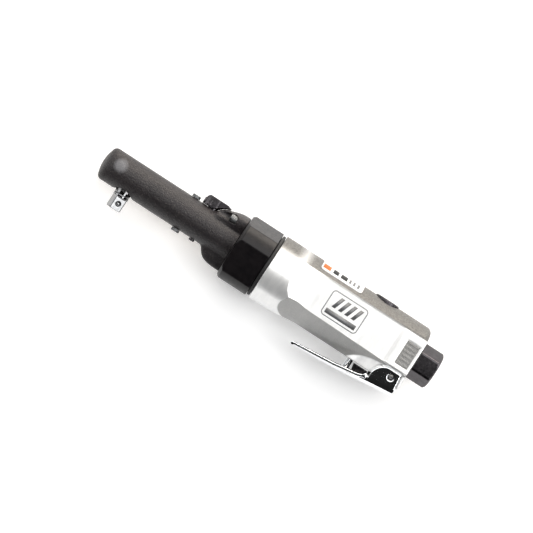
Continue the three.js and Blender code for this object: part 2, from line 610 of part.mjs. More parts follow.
addNode('gear_case', gearCase(), 'collarCoat');
addNode('ring_gear', ringGear(), 'steel');
planetPlaces().forEach(({ degrees, y, z }, index) => {
  addNode(`planet_gear_${index + 1}`, planetGear(), 'steel', [0, y, z], degrees);
  addNode(`planet_pin_${index + 1}`, rod('x', CARRIER_FRONT_X + 0.2, RING_GEAR_REAR_X, PLANET_PIN_RADIUS, 12),
    'steel', [0, y, z]);
});
addNode('front_seal_ring', tube('x', COLLAR_REAR_X + 0.2, HOUSING_FRONT_X - 0.2, 16.7, SPIGOT_RADIUS + FIT, 40),
  'rubber');

// ---------------------------------------------------------------- air motor

const FRONT_PLATE_X = 74.2;
const LINER_FRONT_X = 79.4;
const LINER_REAR_X = 110.4;
const REAR_PLATE_X = 110.6;
const REAR_PLATE_END_X = 115.6;
const FRONT_SHAFT_RADIUS = 3.9;
const REAR_SHAFT_RADIUS = 3;
const VANE_THICKNESS = 1;
const VANE_FOOT = 4.7; // motor axis to a vane's inner edge
const ROTOR_END_X = 117;

function frontEndPlate() {
  const plate = rod('x', FRONT_PLATE_X, LINER_FRONT_X - 0.2, GEAR_BORE - 0.2, 40);
  const seat = rod('x', FRONT_PLATE_X - 1, 78.3, 7.55, 28);
  const hole = rod('x', FRONT_PLATE_X, LINER_FRONT_X + 1, FRONT_SHAFT_RADIUS + 0.3, 24);
  return cut(plate, seat, hole);
}

function exhaustDrills(from, to) {
  return [1, -1].map((sign) => rod('x', from, to, EXHAUST_RADIUS, 12)
    .translate(0, EXHAUST_Y, sign * EXHAUST_Z));
}

function rearEndPlate() {
  const plate = rod('x', REAR_PLATE_X, REAR_PLATE_END_X, LINER_RADIUS, 40);
  const seat = rod('x', 111.6, REAR_PLATE_END_X + 1, 6.15, 28);
  const hole = rod('x', REAR_PLATE_X - 1, REAR_PLATE_END_X, REAR_SHAFT_RADIUS + 0.3, 20);
  const feed = rod('x', REAR_PLATE_X - 1, REAR_PLATE_END_X + 1, 1.3, 12).translate(0, FEED_Y, 0);
  return cut(plate, seat, hole, feed, ...exhaustDrills(REAR_PLATE_X - 1, REAR_PLATE_END_X + 1));
}

// The liner's bore is off centre, so the room for the vanes grows and shrinks as the rotor turns.
function motorLiner() {
  const bore = rod('x', LINER_FRONT_X - 1, LINER_REAR_X + 1, LINER_BORE, 40).translate(0, -LINER_OFFSET, 0);
  const slotCount = 4;
  const slots = Array.from({ length: slotCount }, (_, index) => {
    const x = 86 + index * 6;
    return block([x, x + 2], [EXHAUST_Y - 1.2, EXHAUST_Y + 1.2], [-14, 14]);
  });
  return cut(rod('x', LINER_FRONT_X, LINER_REAR_X, LINER_RADIUS, 40), bore, ...slots);
}

function vaneSlotBlock(halfThickness, inner, outer, endGap) {
  return block([LINER_FRONT_X + 0.3 + endGap, LINER_REAR_X - 0.3 - endGap], [inner, outer],
    [-halfThickness, halfThickness]);
}

const vaneTurns = Array.from({ length: VANE_COUNT }, (_, index) => (360 * index) / VANE_COUNT);

function rotor() {
  const from = LINER_FRONT_X + 0.3;
  const to = LINER_REAR_X - 0.3;
  const body = turned('x', [[RING_GEAR_REAR_X, 0], [RING_GEAR_REAR_X, FRONT_SHAFT_RADIUS],
    [from, FRONT_SHAFT_RADIUS], [from, ROTOR_RADIUS], [to, ROTOR_RADIUS], [to, REAR_SHAFT_RADIUS],
    [ROTOR_END_X, REAR_SHAFT_RADIUS], [ROTOR_END_X, 0]], 40);
  const pitchRadius = (GEAR_MODULE * SUN_TEETH) / 2;
  const teeth = gearOutline(SUN_TEETH, pitchRadius - DEDENDUM, pitchRadius + ADDENDUM, TOOTH_SLACK);
  const pinion = prism('x', teeth, CARRIER_REAR_X + 0.3, RING_GEAR_REAR_X + 1);
  const slots = vaneTurns.map((turn) => turnX(vaneSlotBlock(VANE_THICKNESS / 2 + 0.1, VANE_FOOT - 0.1, 12, -1),
    turn));
  return cut(join(body, pinion), ...slots);
}

addNode('front_end_plate', frontEndPlate(), 'steel');
addNode('motor_liner', motorLiner(), 'steel');
addNode('rear_end_plate', rearEndPlate(), 'steel');
bearing('rotor_front_bearing', 74.5, 78.1, 7.4, FRONT_SHAFT_RADIUS + FIT);
bearing('rotor_rear_bearing', 111.8, 115.4, 6, REAR_SHAFT_RADIUS + FIT);
addNode('rotor', rotor(), 'steel');
vaneTurns.forEach((turn, index) => {
  addNode(`vane_${index + 1}`, vaneSlotBlock(VANE_THICKNESS / 2, VANE_FOOT, ROTOR_RADIUS - 0.2, 0.1),
    'vanePlastic', [0, 0, 0], turn);
});

// ---------------------------------------------------------------- motor housing: the bright casting

// A flat is cut into the round casting behind a long, sweeping front end.
function flatCutter({ frontX, runOut, depthFront, depthRear }) {
  const reach = 24;
  const steps = 8;
  const sweep = Array.from({ length: steps + 1 }, (_, step) => {
    const share = step / steps;
    return [HOUSING_RADIUS - (HOUSING_RADIUS - depthFront) * Math.sin((share * Math.PI) / 2),
      frontX + runOut * share];
  });
  const rearX = HOUSING_REAR_X + 2;
  return prism('y', [[reach, frontX], ...sweep, [depthRear, rearX], [reach, rearX]], -reach, reach);
}

// The polished cheeks swell out below the slanted flats to carry the lever's ears.
function cheeks() {
  const halfPlan = [[5.3, 132.8], [8.6, 137], [10.6, 142], [11.6, 148], [11.9, 152], [11.9, HOUSING_REAR_X]];
  const otherHalf = halfPlan.map(([z, x]) => [-z, x]).reverse();
  return prism('y', [...halfPlan, ...otherHalf], BELLY_Y, -7);
}

// The outline that the lever's ear fills, seen from the side, grown outwards by a gap.
function earOutline(gap) {
  const [pivotX, pivotY] = LEVER_PIVOT;
  const top = pivotY + 3.6 + gap;
  const front = arc([154.7, top - 7.3 - gap], 7.3 + gap, 180, 90, 8);
  const rearTopX = pivotX + 3.6 + gap * 0.6;
  return [[front[0][0] - gap * 0.3, -22], ...front, [rearTopX, top], [rearTopX + 1.6, -22]];
}

const PAD_RISE = 0.7;

// The raised pad at the rear of each side flat, with a sunk panel that holds plain ribs.
function sidePad() {
  const face = SIDE_FLAT_REAR + PAD_RISE;
  const front = [[face, 150.2], [SIDE_FLAT_REAR, 148.6], [8, 148.6], [8, HOUSING_REAR_X], [face, HOUSING_REAR_X]];
  const pad = prism('y', front, -8.2, 10.7);
  const panel = block([153.7, 161.2], [-5.8, 7.3], [face - 0.35, face + 1]);
  const ribCount = 6;
  const ribs = Array.from({ length: ribCount }, (_, index) => {
    const y = -4.9 + index * 2.15;
    return block([154.5, 160.4], [y, y + 1], [face - 0.6, face - 0.05]);
  });
  return join(cut(pad, panel), ...ribs);
}

function housingBody() {
  const round = turned('x', [[HOUSING_FRONT_X, 0], [HOUSING_FRONT_X, HOUSING_RADIUS - 0.5],
    [HOUSING_FRONT_X + 0.5, HOUSING_RADIUS], [HOUSING_REAR_X - 3, HOUSING_RADIUS],
    [HOUSING_REAR_X - 0.9, HOUSING_RADIUS - 0.9], [HOUSING_REAR_X, HOUSING_RADIUS - 3], [HOUSING_REAR_X, 0]], 48);
  const sideCut = flatCutter({ frontX: 91.1, runOut: 15.7, depthFront: SIDE_FLAT_FRONT, depthRear: SIDE_FLAT_REAR });
  const slantCut = turnX(
    flatCutter({ frontX: 92.2, runOut: 10.5, depthFront: SLANT_FLAT, depthRear: SLANT_FLAT }), SLANT_TURN);
  const bellyCut = prism('z', [[88, -19], [88, -HOUSING_RADIUS - 0.1], [104, BELLY_Y],
    [HOUSING_REAR_X + 2, BELLY_Y], [HOUSING_REAR_X + 2, -19]], -20, 20);
  const flats = [sideCut, mirrorZ(sideCut), slantCut, mirrorZ(slantCut), bellyCut];
  const pad = sidePad();
  return join(cut(round, ...flats), cheeks(), pad, mirrorZ(pad));
}

function housingHollows() {
  const spigotRoom = rod('x', HOUSING_FRONT_X - 1, SPIGOT_REAR_X + 0.3, SPIGOT_RADIUS + FIT, 40);
  const motorRoom = rod('x', HOUSING_FRONT_X - 1, MOTOR_BORE_END_X, MOTOR_BORE, 40);
  const shaftRoom = rod('x', MOTOR_BORE_END_X - 1, ROTOR_END_X + 1.5, REAR_SHAFT_RADIUS + 1, 20);
  const feed = rod('x', MOTOR_BORE_END_X - 1, 133, 2.2, 12).translate(0, FEED_Y, 0);
  const valveRoom = rod('y', -12.7, 20, VALVE_BORE, 24).translate(VALVE_X, 0, 0);
  const stemHole = rod('y', -20, -12, STEM_RADIUS + 0.35, 12).translate(VALVE_X, 0, 0);
  const dialRoom = rod('y', 14, 20, DIAL_RADIUS + 0.3, 24).translate(VALVE_X, 0, 0);
  const inletPassage = rod('x', 138, 150, 5, 24).translate(0, INLET_Y, 0);
  const inletRoom = rod('x', 147, HOUSING_REAR_X + 1, INLET_SHANK + FIT, 28).translate(0, INLET_Y, 0);
  const ribRoom = block([137.4, 149], [-20, -12.7], [-3.4, 3.4]);
  const exhaust = exhaustDrills(86, HOUSING_REAR_X + 1);
  return [spigotRoom, motorRoom, shaftRoom, feed, valveRoom, stemHole, dialRoom, inletPassage, inletRoom,
    ribRoom, ...exhaust];
}

const LABEL_X = [99.9, 123.1];
const LABEL_RADIUS = HOUSING_RADIUS;

// A stretch of a round sheet over the spine, centred on +Y.
function spineSheet(from, to, inner, outer, halfDegrees) {
  const edge = [...arc([0, 0], outer, -halfDegrees, halfDegrees, 20), ...arc([0, 0], inner, halfDegrees,
    -halfDegrees, 12)];
  return prism('x', edge, from, to);
}

function motorHousing() {
  const earRoom = prism('z', earOutline(1.1), EAR_RECESS_Z, 20);
  const pinHole = rod('z', -14, 14, LEVER_PIN_HOLE, 12).translate(...LEVER_PIVOT, 0);
  const labelRoom = spineSheet(LABEL_X[0] - 0.2, LABEL_X[1] + 0.2, LABEL_RADIUS - 0.35, LABEL_RADIUS + 2, 40.6);
  return cut(housingBody(), ...housingHollows(), earRoom, mirrorZ(earRoom), pinHole, labelRoom);
}

addNode('motor_housing', motorHousing(), 'casting');
addNode('blank_label', spineSheet(...LABEL_X, LABEL_RADIUS - 0.22, LABEL_RADIUS - 0.04, 40), 'label');

// ---------------------------------------------------------------- throttle valve and regulator

function valveBushing() {
  const sleeve = turned('y', [[-12.5, 1.9], [-12.5, 5.05], [-3, 5.05], [-3, 2.6], [-4.2, 2.6], [-4.2, 3.6],
    [-11.3, 3.6], [-11.3, 1.9]], 24);
  return cut(sleeve, rod('x', -7, 0, 2, 12).translate(0, FEED_Y + 1, 0));
}

function valveStem() {
  return turned('y', [[STEM_END_Y, 0], [STEM_END_Y, 1.2], [STEM_END_Y + 0.5, STEM_RADIUS], [-4.6, STEM_RADIUS],
    [-2.8, STEM_RADIUS], [-2.8, 3.8], [-1.3, 3.8], [-1.3, 1.1], [1.2, 1.1], [1.2, 0]], 20);
}

function regulatorDial() {
  const body = turned('y', [[5.8, 0], [5.8, 4.9], [9.6, 4.9], [9.6, 4.1], [11.2, 4.1], [11.2, 4.9], [14.3, 4.9],
    [14.3, DIAL_RADIUS], [17.7, DIAL_RADIUS], [18.1, DIAL_RADIUS - 0.4], [18.1, 0]], 24);
  const slot = block([-5, 5], [17.1, 19], [-0.6, 0.6]);
  const flowNotch = block([0, 6], [5, 8.5], [-2, 2]);
  const springWell = rod('y', 5, 8, 3, 12);
  return cut(body, slot, flowNotch, springWell);
}

const atValve = [VALVE_X, 0, 0];

addNode('valve_bushing', valveBushing(), 'brass', atValve);
addNode('valve_stem', valveStem(), 'chrome', atValve);
addNode('valve_spring', coilSpring(2.2, 0.3, -0.9, 6.8, 5), 'steel', atValve);
addNode('regulator_dial', regulatorDial(), 'blackSteel', atValve);
addNode('regulator_o_ring', turned('y', arc([10.4, 4.65], 0.4, 0, 300, 5), 20), 'rubber', atValve);

// ---------------------------------------------------------------- throttle lever

// The lever is a folded sheet: a web under the hand, two low sides and an ear at each side of the pin.
const webLine = [LEVER_TIP, [119, -24.6], [130.4, -23.8], [142.5, -22.5], [152, -21.4], [161.2, -20.4]];
const sideTopLine = [[161.9, -16.6], [147.2, -18.2], [142.5, -20.1], [135.2, -21.2], [130.4, -22],
  [LEVER_TIP[0], LEVER_TIP[1] + 1]];

function leverPlan(inset) {
  const tipHalf = 7.5 - inset;
  const rearHalf = LEVER_HALF_WIDTH - inset;
  const tipX = LEVER_TIP[0] + inset;
  const half = [[tipHalf - 2.5, tipX], [tipHalf, tipX + 2.5], [rearHalf, 146], [rearHalf, 163]];
  return [...half, ...half.map(([z, x]) => [-z, x]).reverse()];
}

function leverSheet() {
  const raised = webLine.map(([x, y]) => [x, y + LEVER_SHEET]);
  const ear = prism('z', earOutline(0), -20, 20);
  const sides = prism('z', [...webLine, ...sideTopLine], -20, 20);
  const aboveWeb = prism('z', [...webLine, [170, -20.4], [170, 0], [100, 0], [100, LEVER_TIP[1]]], -20, 20);
  const outer = overlap(join(sides, overlap(ear, aboveWeb)), prism('y', leverPlan(0), -30, 0));
  const hollow = overlap(prism('z', [[105, raised[0][1]], ...raised, [170, raised[5][1]], [170, 0], [105, 0]],
    -20, 20), prism('y', leverPlan(LEVER_SHEET), -30, 1));
  const rolledTip = rod('z', -6.5, 6.5, 0.9, 12).translate(108.2, -24.4, 0);
  const pinHole = rod('z', -20, 20, LEVER_PIN_HOLE, 12).translate(...LEVER_PIVOT, 0);
  return cut(join(cut(outer, hollow), rolledTip), pinHole);
}

// The rib between the stem and the ears stiffens the web and slides up into the housing's belly slot.
function leverRib() {
  const outline = [[139.6, -21.3], [146.4, -20.6], [146.4, -16.4], [138.5, -16.4]];
  return prism('z', outline, -3, 3);
}

function leverPin() {
  const half = 12.3;
  const pin = turned('z', [[-half, 0], [-half, 1.1], [-half + 0.3, 1.45], [half - 0.3, 1.45], [half, 1.1],
    [half, 0]], 12);
  const dimples = [1, -1].map((sign) => rod('z', -0.3, 0.3, 0.8, 12).translate(0, 0, sign * half));
  return cut(pin, ...dimples);
}

addNode('throttle_lever', leverSheet(), 'chrome');
addNode('lever_rib', leverRib(), 'blackSteel');
addNode('lever_pin', leverPin(), 'steel', [...LEVER_PIVOT, 0]);

// ---------------------------------------------------------------- air inlet

function inletBushing() {
  const acrossCorners = INLET_FLATS / Math.cos(radians(30));
  const hexagon = arc([0, 0], acrossCorners / 2, 0, 300, 5);
  const chamfer = 1;
  const bevel = turned('x', [[INLET_FRONT_X, 0], [INLET_FRONT_X, 9.4], [INLET_FRONT_X + 0.5, 9.9],
    [INLET_REAR_X - chamfer, 9.9], [INLET_REAR_X, 8.6], [INLET_REAR_X, 0]], 28);
  const head = overlap(prism('x', hexagon, INLET_FRONT_X, INLET_REAR_X), bevel);
  const shank = rod('x', 150, INLET_FRONT_X + 1, INLET_SHANK, 28);
  const taper = turned('x', [[160, 0], [160, INLET_BORE - 0.35], [INLET_REAR_X, INLET_BORE],
    [INLET_REAR_X + 1, INLET_BORE], [INLET_REAR_X + 1, 0]], 24);
  return cut(join(head, shank), taper, rod('x', 149, 161, 4.6, 20));
}

function inletScreen() {
  const disc = rod('x', 148.2, 149.2, 7.2, 20);
  const rings = [[0, 1], [2.3, 4], [4.6, 8]];
  const holes = rings.flatMap(([radius, count]) => Array.from({ length: count }, (_, index) => {
    const angle = (2 * Math.PI * index) / count;
    return rod('x', 147, 151, 0.8, 6).translate(0, radius * Math.cos(angle), radius * Math.sin(angle));
  }));
  return cut(disc, ...holes);
}

addNode('inlet_bushing', inletBushing(), 'blackSteel', [0, INLET_Y, 0]);
addNode('inlet_screen', inletScreen(), 'steel', [0, INLET_Y, 0]);

// ---------------------------------------------------------------- the tool in its own frame

tool.position.set(0, DRIVE_REACH, 0);

const airRatchet = new THREE.Group();
airRatchet.name = 'air_ratchet';
airRatchet.add(tool);

export default airRatchet;
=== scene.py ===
"""Looks for a slim quarter-inch air ratchet that lies on its side on a pale floor.

Shapes are built in the tool's own millimetres: x along the tool from the drive axis to the air inlet,
y from the tool axis away from the square drive, z up. place() turns them into the row frame.
"""

import json  # noqa: E402
import math  # noqa: E402

import bmesh  # noqa: E402
import bpy  # noqa: E402
import numpy as np  # noqa: E402
from mathutils import Matrix, Vector  # noqa: E402


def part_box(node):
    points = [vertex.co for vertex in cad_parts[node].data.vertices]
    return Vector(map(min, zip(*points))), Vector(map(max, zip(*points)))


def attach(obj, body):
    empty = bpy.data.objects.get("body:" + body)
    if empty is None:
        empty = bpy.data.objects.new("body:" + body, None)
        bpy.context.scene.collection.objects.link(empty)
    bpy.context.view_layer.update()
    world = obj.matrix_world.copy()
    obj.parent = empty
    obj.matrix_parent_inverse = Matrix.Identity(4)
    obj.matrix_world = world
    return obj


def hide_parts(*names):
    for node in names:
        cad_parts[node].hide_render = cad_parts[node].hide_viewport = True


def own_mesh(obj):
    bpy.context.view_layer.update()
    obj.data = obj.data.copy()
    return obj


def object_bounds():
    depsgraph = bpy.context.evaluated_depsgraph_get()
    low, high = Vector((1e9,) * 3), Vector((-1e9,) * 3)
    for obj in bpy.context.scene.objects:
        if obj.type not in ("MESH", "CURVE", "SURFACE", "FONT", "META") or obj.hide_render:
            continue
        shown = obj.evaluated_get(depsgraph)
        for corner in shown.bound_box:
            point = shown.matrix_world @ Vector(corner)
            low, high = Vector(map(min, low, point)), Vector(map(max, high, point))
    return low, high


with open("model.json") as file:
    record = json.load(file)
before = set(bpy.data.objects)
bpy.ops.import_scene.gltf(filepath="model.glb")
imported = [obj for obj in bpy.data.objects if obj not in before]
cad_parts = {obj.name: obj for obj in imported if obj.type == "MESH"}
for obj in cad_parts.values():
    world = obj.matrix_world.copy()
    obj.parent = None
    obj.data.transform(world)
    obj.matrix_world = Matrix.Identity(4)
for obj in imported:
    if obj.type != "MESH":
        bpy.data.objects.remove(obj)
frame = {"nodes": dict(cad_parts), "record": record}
cad_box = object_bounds()

MM = 0.001
COARSE = 1.0


# ---- places read from the frame

X, Y, Z = range(3)
AXIS_Y = sum(corner.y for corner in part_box("gear_case")) / 2 / MM


def span(node):
    """Lowest and highest corner of a CAD node in the tool's millimetres."""
    low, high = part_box(node)
    lift = Vector((0, AXIS_Y, 0))
    return low / MM - lift, high / MM - lift


def middle(piece, axis):
    """Half way between a piece's two corners along one axis."""
    return (piece[0][axis] + piece[1][axis]) / 2


def half_size(piece, axis):
    return (piece[1][axis] - piece[0][axis]) / 2


HEAD, COLLAR, HOUSING = span("ratchet_housing"), span("gear_case"), span("motor_housing")
LEVER, LABEL, RING = span("throttle_lever"), span("blank_label"), span("front_seal_ring")
INLET, DIAL, STEM = span("inlet_bushing"), span("regulator_dial"), span("valve_stem")
PIN, RIB, ANVIL = span("lever_pin"), span("lever_rib"), span("anvil")
SET_SCREW, GREASE_SCREW = span("set_screw_top"), span("grease_screw")
CASE_SCREW = span("case_screw_top")
FIT_GAP = 0.15

TUBE_RADIUS = 8.75
TUBE_BORE = 7.1
HEAD_TIP_X = HEAD[0].x
HEAD_REAR_X = HEAD[1].x
LOBE_RADIUS = 14.9
LOBE_TURN = 75
LOBE_HALF_WIDTH = 28
SCREW_Y = middle(CASE_SCREW, Y)
SCREW_Z = middle(CASE_SCREW, Z)
SCREW_HEAD_RADIUS = half_size(CASE_SCREW, Y)
SCREW_SEAT_X = 54
REVERSE_X = 40.7
REVERSE_HUB = 2.6

LOCATING_RING_FRONT_X = COLLAR[0].x
COLLAR_FRONT_X = HEAD_REAR_X + 0.12
COLLAR_REAR_X = RING[0].x - 0.2
COLLAR_RADIUS = 17.9
COLLAR_FLAT = 15.4
COLLAR_FLAT_TURN = -17.9
SPIGOT_RADIUS = 15.2
SPIGOT_REAR_X = COLLAR[1].x

HOUSING_FRONT_X = HOUSING[0].x
HOUSING_REAR_X = HOUSING[1].x
HOUSING_RADIUS = HOUSING[1].y
GEAR_BORE = 13.35
MOTOR_BORE = 11.8
MOTOR_BORE_END_X = 116
SIDE_FLAT_FRONT = 13.3
SIDE_FLAT_REAR = 12.45
SIDE_FLAT = (91.1, 15.7, SIDE_FLAT_FRONT, SIDE_FLAT_REAR)
SLANT_FLAT = (92.2, 10.5, 14.6, 14.6)
SLANT_TURN = 44
BELLY_Y = -15.75

VALVE_X = middle(DIAL, X)
PIVOT_X = middle(PIN, X)
PIVOT_Y = middle(PIN, Y)
PIVOT_HOLE = 1.65
EAR_RECESS_Z = 10.6
INLET_Y = middle(INLET, Y)


# ---- mesh helpers

# An outline lies in a plane (a, b) and is swept along c, which is the named axis.
LAY = {
    "x": lambda a, b, c: (c, a, b),
    "y": lambda a, b, c: (b, c, a),
    "z": lambda a, b, c: (a, b, c),
}


def closed_mesh(vertices, faces):
    """A mesh with its faces turned outwards."""
    shape = bmesh.new()
    points = [shape.verts.new(v) for v in vertices]
    for face in faces:
        shape.faces.new([points[i] for i in face])
    bmesh.ops.recalc_face_normals(shape, faces=shape.faces)
    mesh = bpy.data.meshes.new("shape")
    shape.to_mesh(mesh)
    shape.free()
    return mesh


def ring_faces(first, second):
    """Faces between two rings of vertex numbers, either of which may be a single point."""
    if len(first) == 1:
        return [(first[0], a, b) for a, b in zip(second, second[1:] + second[:1])]
    if len(second) == 1:
        return [(b, a, second[0]) for a, b in zip(first, first[1:] + first[:1])]
    pairs = zip(first, first[1:] + first[:1], second[1:] + second[:1], second)
    return [list(corners) for corners in pairs]


def loft(sections, capped=True):
    """A solid through a row of sections, each of them a ring of points or a single one.
    Without caps, the last section is joined to the first one."""
    vertices = []
    rings = []
    for section in sections:
        rings.append(list(range(len(vertices), len(vertices) + len(section))))
        vertices.extend(section)
    ends = [ring for ring in (rings[0], rings[-1]) if len(ring) > 1]
    if not capped:
        rings.append(rings[0])
    faces = [face for first, second in zip(rings, rings[1:]) for face in ring_faces(first, second)]
    return closed_mesh(vertices, faces + ends if capped else faces)


def turned(axis, profile, segments=192):
    """A solid of revolution from (along, radius) points that start and end on the axis, or form a ring."""
    sections = []
    for along, radius in profile:
        count = segments if radius > 0 else 1
        angles = [math.tau * step / count for step in range(count)]
        sections.append([LAY[axis](radius * math.cos(a), radius * math.sin(a), along) for a in angles])
    return loft(sections, capped=profile[0][1] <= 0)


def lathe(axis, profile, segments=192):
    """A solid of revolution that is closed at both ends by a flat face."""
    return turned(axis, [(profile[0][0], 0), *profile, (profile[-1][0], 0)], segments)


def rod(axis, low, high, radius, segments=96, **offset):
    return moved(lathe(axis, [(low, radius), (high, radius)], segments), **offset)


def tube(axis, low, high, outer, inner, segments=192):
    return turned(axis, [(low, inner), (low, outer), (high, outer), (high, inner)], segments)


def prism(axis, outline, low, high):
    """An outline of (a, b) points swept along the axis."""
    count = len(outline)
    lay = LAY[axis]
    vertices = [lay(a, b, low) for a, b in outline] + [lay(a, b, high) for a, b in outline]
    sides = [(i, (i + 1) % count, (i + 1) % count + count, i + count) for i in range(count)]
    return closed_mesh(vertices, [list(range(count)), list(range(count, 2 * count)), *sides])


def block(x, y, z):
    corners = [(x[0], y[0]), (x[1], y[0]), (x[1], y[1]), (x[0], y[1])]
    return prism("z", corners, *z)


def two_sided(half):
    """An outline from the half of it on one side."""
    return [*half, *((-a, b) for a, b in reversed(half))]


def arc(centre, radius, start, end, steps):
    """Points on an arc, with its angles in degrees."""
    angles = [math.radians(start + (end - start) * step / steps) for step in range(steps + 1)]
    return [(centre[0] + radius * math.cos(a), centre[1] + radius * math.sin(a)) for a in angles]


def smooth_line(points, steps):
    """Points on a smooth curve through the given ones."""
    line = []
    for i in range(len(points) - 1):
        before = points[max(i - 1, 0)]
        first, second = points[i], points[i + 1]
        after = points[min(i + 2, len(points) - 1)]
        for step in range(steps):
            t = step / steps
            point = []
            for a, b, c, d in zip(before, first, second, after):
                square = (2 * a - 5 * b + 4 * c - d) * t ** 2
                cube = (3 * b - a - 3 * c + d) * t ** 3
                point.append(0.5 * (2 * b + (c - a) * t + square + cube))
            line.append(tuple(point))
    line.append(points[-1])
    return line


def smooth_step(values, low, high):
    share = np.clip((values - low) / (high - low), 0, 1)
    return share * share * (3 - 2 * share)


def height_at(line, x):
    return float(np.interp(x, [p[0] for p in line], [p[1] for p in line]))


def moved(mesh, x=0.0, y=0.0, z=0.0):
    mesh.transform(Matrix.Translation((x, y, z)))
    return mesh


def spun(mesh, degrees, axis="X"):
    """A copy turned about one axis of the tool."""
    copy = mesh.copy()
    copy.transform(Matrix.Rotation(math.radians(degrees), 4, axis))
    return copy


def mirrored(mesh):
    """A copy on the other side of the tool."""
    copy = mesh.copy()
    copy.transform(Matrix.Diagonal((1, 1, -1, 1)))
    copy.flip_normals()
    return copy


def both(mesh):
    """A mesh and its copy on the other side of the tool."""
    return mesh, mirrored(mesh)


def new_object(name, data):
    thing = bpy.data.objects.new(name, data)
    bpy.context.scene.collection.objects.link(thing)
    return thing


def settled(thing, *helpers):
    """The mesh of a scratch object with its modifiers applied. The scratch objects go."""
    graph = bpy.context.evaluated_depsgraph_get()
    mesh = bpy.data.meshes.new_from_object(thing.evaluated_get(graph), depsgraph=graph)
    for used in (thing, *helpers):
        bpy.data.objects.remove(used)
    return mesh


def combine(operation, base, others):
    thing = new_object("scratch", base)
    helpers = [new_object("scratch", other) for other in others]
    for helper in helpers:
        step = thing.modifiers.new("combine", "BOOLEAN")
        step.operation = operation
        step.solver = "MANIFOLD"
        step.object = helper
    return settled(thing, *helpers)


def cut(base, *tools):
    return combine("DIFFERENCE", base, tools)


def join(base, *others):
    return combine("UNION", base, others)


def overlap(base, *others):
    return combine("INTERSECT", base, others)


def softened(mesh, voxel, smoothing=2, most_faces=0):
    """The solid remeshed in small even faces, with its edges rounded as a finished part's are."""
    thing = new_object("scratch", mesh)
    remesh = thing.modifiers.new("remesh", "REMESH")
    remesh.mode = "VOXEL"
    remesh.voxel_size = voxel * COARSE
    smooth = thing.modifiers.new("smooth", "SMOOTH")
    smooth.factor = 0.5
    smooth.iterations = smoothing
    if most_faces:
        fewer = thing.modifiers.new("fewer", "DECIMATE")
        fewer.ratio = min(1.0, most_faces * (voxel * COARSE) ** 2)
    return settled(thing)


def place(name, mesh, material, body, nodes=()):
    """Puts a finished mesh into the row frame as a piece that rides on a body."""
    mesh.transform(Matrix.Translation((0, AXIS_Y, 0)))
    mesh.transform(Matrix.Scale(MM, 4))
    mesh.shade_smooth()
    mesh.materials.clear()
    mesh.materials.append(material)
    mesh.name = name
    thing = new_object(name, mesh)
    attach(thing, body)
    if nodes:
        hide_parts(*nodes)
    return thing


def show(node, mesh, slot, body="casing", material=None):
    """Places the piece that is shown for one CAD node, in its slot's own look unless another is given."""
    return place(node + "_shown", mesh, material or LOOKS[slot], body, [node])


# ---- materials


